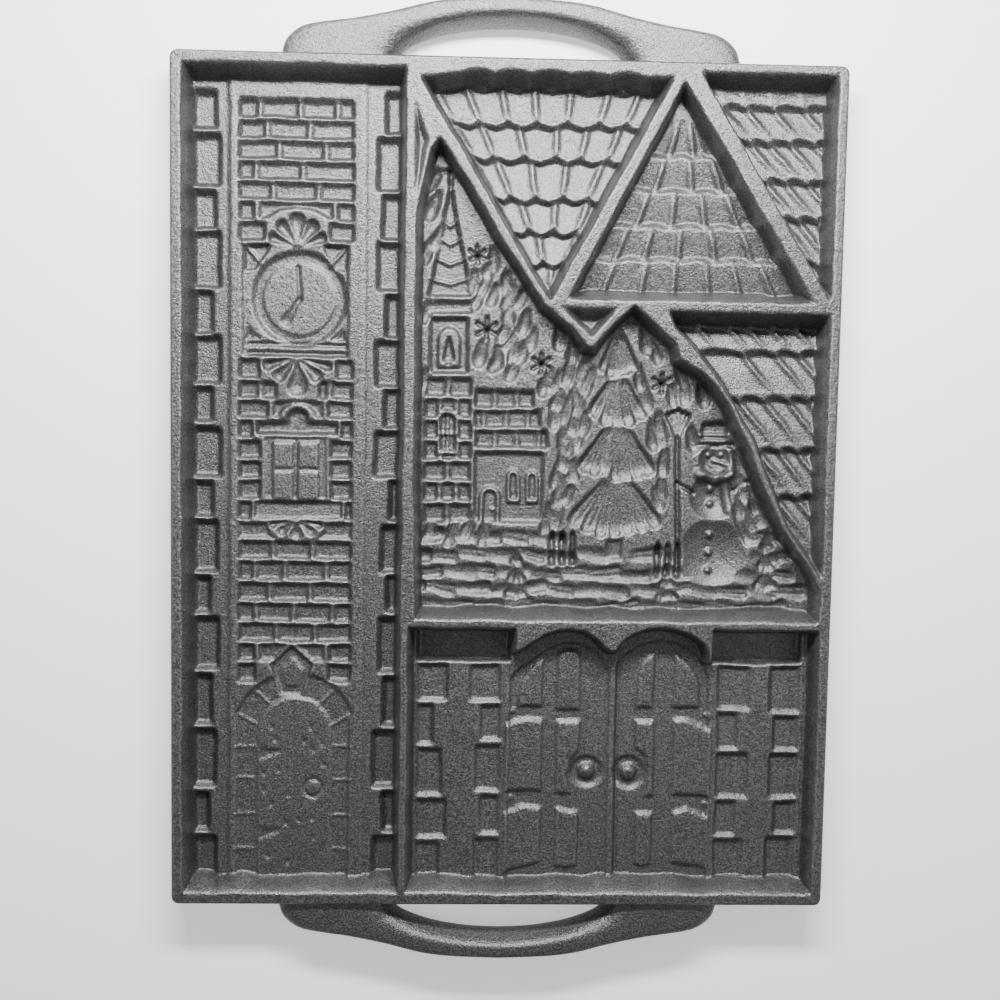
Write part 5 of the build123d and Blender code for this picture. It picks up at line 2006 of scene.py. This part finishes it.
def make_object(name: str, vertices: Array, quads: Array, loops: Sequence[Array],
                normals: Array | None, painted_light_and_wear: Array) -> bpy.types.Object:
    """Make a smooth-shaded mesh object from whole arrays.

    Args:
        name: Name of the object and its mesh.
        vertices: Places in metres.
        quads: Four vertex indices per face.
        loops: Larger faces, as vertex indices.
        normals: One normal per vertex, or None to let Blender average the faces'.
        painted_light_and_wear: Per vertex, the value by which the finish paints shade into the hollows
            and paints proud edges paler, as rubbing and as a painted highlight.

    Returns:
        The object, linked to the scene.
    """
    mesh = bpy.data.meshes.new(name)
    mesh.vertices.add(len(vertices))
    mesh.vertices.foreach_set("co", vertices.astype(np.float32).ravel())
    index = np.concatenate([quads.ravel(), *loops])
    totals = np.concatenate([np.full(len(quads), 4), [len(loop) for loop in loops]])
    starts = np.concatenate([[0], np.cumsum(totals)[:-1]])
    mesh.loops.add(len(index))
    mesh.loops.foreach_set("vertex_index", index.astype(np.int32))
    mesh.polygons.add(len(totals))
    mesh.polygons.foreach_set("loop_start", starts.astype(np.int32))
    mesh.update(calc_edges=True)
    mesh.validate()
    mesh.polygons.foreach_set("use_smooth", np.ones(len(totals), bool))
    # Attribute that paints shade into the hollows and paints proud edges paler, as rubbing and as a
    # painted highlight.
    attribute = mesh.attributes.new("painted_light_and_wear", "FLOAT", "POINT")
    attribute.data.foreach_set("value", painted_light_and_wear.astype(np.float32))
    if normals is not None:
        mesh.normals_split_custom_set_from_vertices(normals.tolist())
    mesh.update()
    piece = bpy.data.objects.new(name, mesh)
    bpy.context.scene.collection.objects.link(piece)
    return piece


@dataclass
class LoopHandle:
    """A loop handle: a bar ruled between the loop's outer curve and its hole.

    At share s of the way round, the section spans from the hole's curve, which opens wider
    towards the front, to the outer curve; it is the superellipse |a|^n + |b|^n = 1 with a from
    the hole to the outside and b from back to front.

    Attributes:
        end: The end of the mold that carries it.
        outer: Half of the outer curve as x and reach beyond the face, from the root to the middle.
        hole_back: The same for the hole's edge at the back.
        hole_front: The same for the hole's edge at the front.
        back: Height of the bar's back, in mm.
        front: Height of the bar's front, in mm.
        power: The superellipse's exponent.
        sections: Number of sections along the bar.
        around: Number of points round each section.
    """

    end: MoldEnd
    outer: Outline = (
        (86.6, -0.6), (86.2, 2.0), (84.3, 6.6), (78.6, 10.9), (69.0, 12.8), (60.0, 14.0),
        (45.7, 16.9), (31.4, 20.6), (19.0, 22.2), (0.0, 22.9),
    )
    hole_back: Outline = (
        (42.5, -0.6), (41.0, 1.6), (36.0, 5.6), (25.0, 9.8), (12.0, 12.0), (0.0, 12.6),
    )
    hole_front: Outline = (
        (48.0, -0.6), (46.6, 2.2), (41.0, 7.6), (29.0, 12.8), (14.0, 15.8), (0.0, 16.7),
    )
    back: float = 2.2
    front: float = 13.9
    power: float = 4.2
    sections: int = 260
    around: int = 64

    @staticmethod
    def sampled(half: Outline, count: int) -> Array:
        """Evenly spaced points on the whole curve, whose half is given.

        Args:
            half: Points of one half, from the root to the middle.
            count: Number of points.

        Returns:
            The points, one row each.
        """
        fine = np.array(smooth_curve(list(half), 12))
        whole = np.concatenate([fine, fine[-2::-1] * (-1.0, 1.0)])
        travel = np.concatenate([[0.0], np.cumsum(np.hypot(*np.diff(whole, axis=0).T))])
        even = np.linspace(0.0, travel[-1], count)
        return np.stack([np.interp(even, travel, part) for part in whole.T], 1)

    def build(self, finish: IronFinish, length: float) -> bpy.types.Object:
        """Carry the section round the loop and close it inside the rim.

        Args:
            finish: The iron's finish.
            length: Length of the mold's face in mm.

        Returns:
            The handle, in the place of its CAD node.
        """
        turn = self.end.value
        outer = self.sampled(self.outer, self.sections)
        back = self.sampled(self.hole_back, self.sections)
        front = self.sampled(self.hole_front, self.sections)
        angle = np.linspace(0.0, 2.0 * math.pi, self.around, endpoint=False)
        cosine, sine = np.cos(angle), np.sin(angle)
        a = np.sign(cosine) * np.abs(cosine) ** (2.0 / self.power)
        b = np.sign(sine) * np.abs(sine) ** (2.0 / self.power)
        rise = (b + 1.0) / 2.0
        up, out = rise[None, :, None], ((a + 1.0) / 2.0)[None, :, None]
        inner = back[:, None, :] * (1.0 - up) + front[:, None, :] * up
        plan = inner * (1.0 - out) + outer[:, None, :] * out
        z = np.broadcast_to(self.back + (self.front - self.back) * rise, plan.shape[:2])
        y = turn * (length / 2 + plan[..., 1])
        vertices = np.stack([plan[..., 0], y, z], -1).reshape(-1, 3) * MM
        ring = np.arange(self.around)
        start = np.arange(self.sections - 1)[:, None] * self.around
        one, two = start + ring, start + np.roll(ring, -1)
        quads = np.stack([one, two, two + self.around, one + self.around], -1).reshape(-1, 4)
        last = (self.sections - 1) * self.around
        caps = [ring[::-1].copy(), last + ring]
        if turn < 0:
            quads = quads[:, ::-1]
            caps = [cap[::-1].copy() for cap in caps]
        name = "top_handle" if self.end is MoldEnd.ROOFS else "bottom_handle"
        # The handles take the faces' colour, with no painted shade or highlight.
        no_painted_light = np.full(len(vertices), 0.5)
        piece = make_object(f"{name}_bar", vertices, quads, caps, None, no_painted_light)
        put_in_place(piece, name, finish)
        return piece


def node_group(name: str, outputs: Sequence[str]) -> tuple[bpy.types.NodeTree, object, object]:
    """A shader node group with one vector input and some value outputs.

    Args:
        name: The group's name.
        outputs: Name of each output.

    Returns:
        The group, its vector socket and its output node.
    """
    group = bpy.data.node_groups.new(name, "ShaderNodeTree")
    group.interface.new_socket("Vector", in_out="INPUT", socket_type="NodeSocketVector")
    for label in outputs:
        group.interface.new_socket(label, in_out="OUTPUT", socket_type="NodeSocketFloat")
    vector = group.nodes.new("NodeGroupInput").outputs["Vector"]
    return group, vector, group.nodes.new("NodeGroupOutput")


def run_group(tree: bpy.types.NodeTree, group: bpy.types.NodeTree, vector: object) -> object:
    """Run a node group on a vector; gives the node's outputs.

    Args:
        tree: The node tree to add it to.
        group: The group.
        vector: The vector's socket.

    Returns:
        The node's outputs by name.
    """
    node = tree.nodes.new("ShaderNodeGroup")
    node.node_tree = group
    tree.links.new(vector, node.inputs["Vector"])
    return node.outputs


def noise_node(tree: bpy.types.NodeTree, vector: object, scale: float, detail: float = 2.0,
               roughness: float = 0.5) -> object:
    """A noise texture on a vector; gives its value socket.

    Args:
        tree: The node tree to add it to.
        vector: The vector's socket.
        scale: Scale of the noise.
        detail: Its number of octaves.
        roughness: Weight of the finer ones.

    Returns:
        The socket of the value.
    """
    node = tree.nodes.new("ShaderNodeTexNoise")
    node.inputs["Scale"].default_value = scale
    node.inputs["Detail"].default_value = detail
    node.inputs["Roughness"].default_value = roughness
    tree.links.new(vector, node.inputs["Vector"])
    return node.outputs["Fac"]


def math_node(tree: bpy.types.NodeTree, operation: str, *values: object) -> object:
    """A math node on sockets and numbers; gives its value socket.

    Args:
        tree: The node tree to add it to.
        operation: Name of the operation.
        values: Sockets or numbers that it works on.

    Returns:
        The socket of the result.
    """
    node = tree.nodes.new("ShaderNodeMath")
    node.operation = operation
    for index, value in enumerate(values):
        if isinstance(value, (int, float)):
            node.inputs[index].default_value = value
        else:
            tree.links.new(value, node.inputs[index])
    return node.outputs[0]


def range_node(tree: bpy.types.NodeTree, value: object, span: Point, to: Point) -> object:
    """Map a value from one span to another, held at both ends; gives its value socket.

    Args:
        tree: The node tree to add it to.
        value: Socket of the value.
        span: The span it comes from.
        to: The span it goes to.

    Returns:
        The socket of the result.
    """
    node = tree.nodes.new("ShaderNodeMapRange")
    for name, number in zip(("From Min", "From Max", "To Min", "To Max"), (*span, *to)):
        node.inputs[name].default_value = number
    tree.links.new(value, node.inputs["Value"])
    return node.outputs["Result"]


@dataclass(frozen=True)
class IronFinish:
    """Bare sand-cast iron: dark, rubbed grey, rough with sand grain, with shade painted into the
    hollows and proud edges painted paler, as rubbing and as a highlight.

    Attributes:
        hollow_painted_shade: Colour painted into the hollows as shade.
        face: Colour of the faces.
        worn_and_lit: Colour painted on proud edges, both as rubbing and as a highlight of their lit
            lips.
        metallic: How metallic the shader is.
        roughness: Roughness of the faces.
        grain_depth: Depth of the sand grain in mm.
    """

    hollow_painted_shade: tuple[float, float, float] = (0.118, 0.117, 0.115)
    face: tuple[float, float, float] = (0.13, 0.13, 0.128)
    worn_and_lit: tuple[float, float, float] = (0.175, 0.175, 0.172)
    metallic: float = 0.85
    roughness: float = 0.44
    grain_depth: float = 0.27

    @staticmethod
    def grain_group() -> bpy.types.NodeTree:
        """Sand grain: the height of grains 0.4 to 0.8 mm wide and of coarser unevenness.

        Returns:
            The group.
        """
        tree, vector, end = node_group("sand_grain", ["Height"])
        fine = noise_node(tree, vector, 1500.0, 2.0, 0.6)
        middle = noise_node(tree, vector, 620.0, 2.0, 0.5)
        coarse = noise_node(tree, vector, 130.0, 2.0, 0.5)
        total = math_node(tree, "MULTIPLY_ADD", middle, 0.75, fine)
        total = math_node(tree, "MULTIPLY_ADD", coarse, 0.8, total)
        tree.links.new(total, end.inputs["Height"])
        return tree

    @staticmethod
    def mottle_group() -> bpy.types.NodeTree:
        """Mottling: a broad patchiness and a fine speckle, both 0..1.

        Returns:
            The group.
        """
        tree, vector, end = node_group("iron_mottle", ["Patches", "Speckle"])
        broad = noise_node(tree, vector, 26.0, 4.0, 0.6)
        tree.links.new(range_node(tree, broad, (0.32, 0.68), (0.0, 1.0)), end.inputs["Patches"])
        speckle = noise_node(tree, vector, 1600.0, 1.0, 0.6)
        tree.links.new(range_node(tree, speckle, (0.35, 0.65), (0.0, 1.0)), end.inputs["Speckle"])
        return tree

    def material(self) -> bpy.types.Material:
        """The finish as a material; made once and shared by every piece.

        Returns:
            The material.
        """
        made = bpy.data.materials.get("cast_iron_finish")
        if made:
            return made
        material = bpy.data.materials.new("cast_iron_finish")
        material.use_nodes = True
        tree = material.node_tree
        tree.nodes.clear()
        output = tree.nodes.new("ShaderNodeOutputMaterial")
        shader = tree.nodes.new("ShaderNodeBsdfPrincipled")
        tree.links.new(shader.outputs[0], output.inputs[0])
        shader.inputs["Metallic"].default_value = self.metallic
        place = tree.nodes.new("ShaderNodeTexCoord").outputs["Object"]
        grain = run_group(tree, self.grain_group(), place)
        mottle = run_group(tree, self.mottle_group(), place)
        # The per-vertex attribute drives the colour ramp: shade painted into the hollows, and proud
        # edges painted paler as rubbing and as a highlight.
        painted_light_and_wear = tree.nodes.new("ShaderNodeAttribute")
        painted_light_and_wear.attribute_name = "painted_light_and_wear"
        ramp = tree.nodes.new("ShaderNodeValToRGB")
        first, last = ramp.color_ramp.elements
        first.position, first.color = 0.05, (*self.hollow_painted_shade, 1.0)
        last.position, last.color = 0.92, (*self.worn_and_lit, 1.0)
        ramp.color_ramp.elements.new(0.5).color = (*self.face, 1.0)
        speckled = math_node(tree, "MULTIPLY_ADD", mottle["Speckle"], 0.16, -0.08)
        shifted = math_node(tree, "ADD", painted_light_and_wear.outputs["Fac"], speckled)
        patched = math_node(tree, "MULTIPLY_ADD", mottle["Patches"], 0.12, -0.06)
        tree.links.new(math_node(tree, "ADD", shifted, patched), ramp.inputs["Fac"])
        speckling = tree.nodes.new("ShaderNodeVectorMath")
        speckling.operation = "SCALE"
        tree.links.new(ramp.outputs["Color"], speckling.inputs[0])
        fleck = range_node(tree, mottle["Speckle"], (0.0, 1.0), (0.66, 1.36))
        tree.links.new(fleck, speckling.inputs["Scale"])
        tree.links.new(speckling.outputs["Vector"], shader.inputs["Base Color"])
        span = (self.roughness - 0.06, self.roughness + 0.08)
        rough = range_node(tree, mottle["Speckle"], (0.0, 1.0), span)
        tree.links.new(rough, shader.inputs["Roughness"])
        bump = tree.nodes.new("ShaderNodeBump")
        bump.inputs["Strength"].default_value = 1.0
        bump.inputs["Distance"].default_value = self.grain_depth * MM
        tree.links.new(grain["Height"], bump.inputs["Height"])
        tree.links.new(bump.outputs["Normal"], shader.inputs["Normal"])
        return material

    def dress(self, piece: bpy.types.Object) -> None:
        """Put the finish on a piece.

        Args:
            piece: The piece.
        """
        piece.data.materials.clear()
        piece.data.materials.append(self.material())


@dataclass(frozen=True)
class AreaLamp:
    """A soft lamp: where it stands, where it looks, its size and its power."""

    name: str
    place: tuple[float, float, float]
    target: tuple[float, float, float]
    size: tuple[float, float]
    power: float
    colour: tuple[float, float, float] = (1.0, 1.0, 1.0)

    def add(self) -> None:
        """Add the lamp to the scene; its lengths are in mm."""
        data = bpy.data.lights.new(self.name, "AREA")
        data.shape = "RECTANGLE"
        data.size, data.size_y = self.size[0] * MM, self.size[1] * MM
        data.energy = self.power
        data.color = self.colour
        lamp = bpy.data.objects.new(self.name, data)
        lamp.location = Vector(self.place) * MM
        aim = Vector(self.target) - Vector(self.place)
        lamp.rotation_euler = aim.to_track_quat("-Z", "Y").to_euler()
        bpy.context.scene.collection.objects.link(lamp)


SKY_BLUE = (0.80, 0.91, 1.0)
ORIGIN = (0.0, 0.0, 0.0)


@dataclass
class Studio:
    """Pale floor, lamps and the photo's camera.

    The camera is kept as the turn and shift that carry the drawing's axes (X, -Y, -Z, from the
    middle of the rim plane) to the camera's (right, down, forward).

    Attributes:
        lamps: A wide lamp beyond the roofs' end, and two dim bluish ones at the sides.
        turn: Axis of the camera's turn, as long as its angle in radians.
        shift: Where the middle of the rim plane lies for the camera, in mm.
        lens: Focal length in mm, on a sensor 36 mm wide.
        rim_plane: Height of the rim plane in mm.
        ambient: How bright the surroundings are as light.
        floor_reach: Half the floor's size in metres.
        floor_gap: How far the floor lies under the mold's back, in metres.
        floor_grey: The floor's colour.
        floor_glow: How bright the floor glows by itself.
    """

    lamps: Sequence[AreaLamp] = (
        AreaLamp("key", (4.0, 292.0, 296.0), (0.0, 50.0, 16.0), (380.0, 60.0), 6.2, (0.97, 1.0, 1.0)),
        AreaLamp("left_fill", (-800.0, -160.0, 600.0), ORIGIN, (700.0, 700.0), 1.2, SKY_BLUE),
        AreaLamp("right_fill", (600.0, -200.0, 560.0), ORIGIN, (500.0, 500.0), 0.9, SKY_BLUE),
    )
    turn: tuple[float, float, float] = (0.07126622, -0.03395513, 0.01515101)
    shift: tuple[float, float, float] = (2.19069, -3.27467, 476.35124)
    lens: float = 45.0
    rim_plane: float = 16.0
    ambient: float = 0.22
    floor_reach: float = 3.0
    floor_gap: float = 0.0002
    floor_grey: float = 0.93
    floor_glow: float = 0.58

    def build(self) -> None:
        """Add everything to the scene."""
        self.add_floor()
        self.add_world()
        for lamp in self.lamps:
            lamp.add()
        self.add_camera()

    def add_floor(self) -> None:
        """A plain pale floor just under the mold's back."""
        mesh = bpy.data.meshes.new("floor")
        reach = self.floor_reach
        corners = [(x, y, 0.0) for x, y in rectangle(-reach, reach, -reach, reach)]
        mesh.from_pydata(corners, [], [(0, 1, 2, 3)])
        floor = bpy.data.objects.new("floor", mesh)
        floor.location.z = -self.floor_gap
        bpy.context.scene.collection.objects.link(floor)
        material = bpy.data.materials.new("pale_floor")
        material.use_nodes = True
        shader = material.node_tree.nodes["Principled BSDF"]
        shader.inputs["Base Color"].default_value = (*(self.floor_grey,) * 3, 1.0)
        shader.inputs["Roughness"].default_value = 0.9
        shader.inputs["Emission Color"].default_value = (1.0, 1.0, 1.0, 1.0)
        shader.inputs["Emission Strength"].default_value = self.floor_glow
        mesh.materials.append(material)

    def add_world(self) -> None:
        """Pale surroundings: full white to the camera, dimmer as light."""
        world = bpy.data.worlds.new("surroundings")
        world.use_nodes = True
        tree = world.node_tree
        background = tree.nodes["Background"]
        background.inputs["Color"].default_value = (1.0, 0.985, 0.965, 1.0)
        path = tree.nodes.new("ShaderNodeLightPath")
        strength = range_node(tree, path.outputs["Is Camera Ray"], (0.0, 1.0), (self.ambient, 1.0))
        tree.links.new(strength, background.inputs["Strength"])
        bpy.context.scene.world = world

    def add_camera(self) -> None:
        """The camera of the photo."""
        axes = Matrix.Diagonal((1.0, -1.0, -1.0))
        angle = math.sqrt(sum(part * part for part in self.turn))
        turn = Matrix.Rotation(angle, 3, Vector(self.turn))
        to_camera = axes @ turn @ axes
        place = -(to_camera.transposed() @ (axes @ Vector(self.shift)))
        place.z += self.rim_plane
        data = bpy.data.cameras.new("photo_camera")
        data.lens, data.sensor_width = self.lens, 36.0
        data.clip_start, data.clip_end = 0.01, 20.0
        camera = bpy.data.objects.new("photo_camera", data)
        camera.matrix_world = Matrix.Translation(place * MM) @ to_camera.transposed().to_4x4()
        bpy.context.scene.collection.objects.link(camera)
        bpy.context.scene.camera = camera


def main() -> None:
    """Build the looks of the mold piece by piece."""
    logging.basicConfig(level=logging.INFO, format="%(message)s")
    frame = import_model()
    finish = IronFinish()
    relief = Relief()
    RidgeNetwork().press(relief)
    LOG.info("rim and ridges: %d x %d grid", *relief.z.shape)
    TowerRelief().press(relief)
    LOG.info("tower: corner stones, bricks, clock, window and portal")
    RoofReliefs().press(relief)
    LOG.info("roofs: two tiled roofs and two corner pieces")
    DoorRelief().press(relief)
    LOG.info("doors: two stone walls and two arched leaves")
    WinterScene().press(relief)
    LOG.info("winter scene: chapel, fir trees, snowman and branches")
    RidgeNetwork().weather(relief)
    pieces = Casting(relief, frame["nodes"]).build(finish)
    LOG.info("casting: %d closed pieces", len(pieces))
    for end in MoldEnd:
        handle = LoopHandle(end).build(finish, relief.length)
        LOG.info("handle: %s", handle.name)
    Studio().build()


if __name__ == "__main__":
    main()
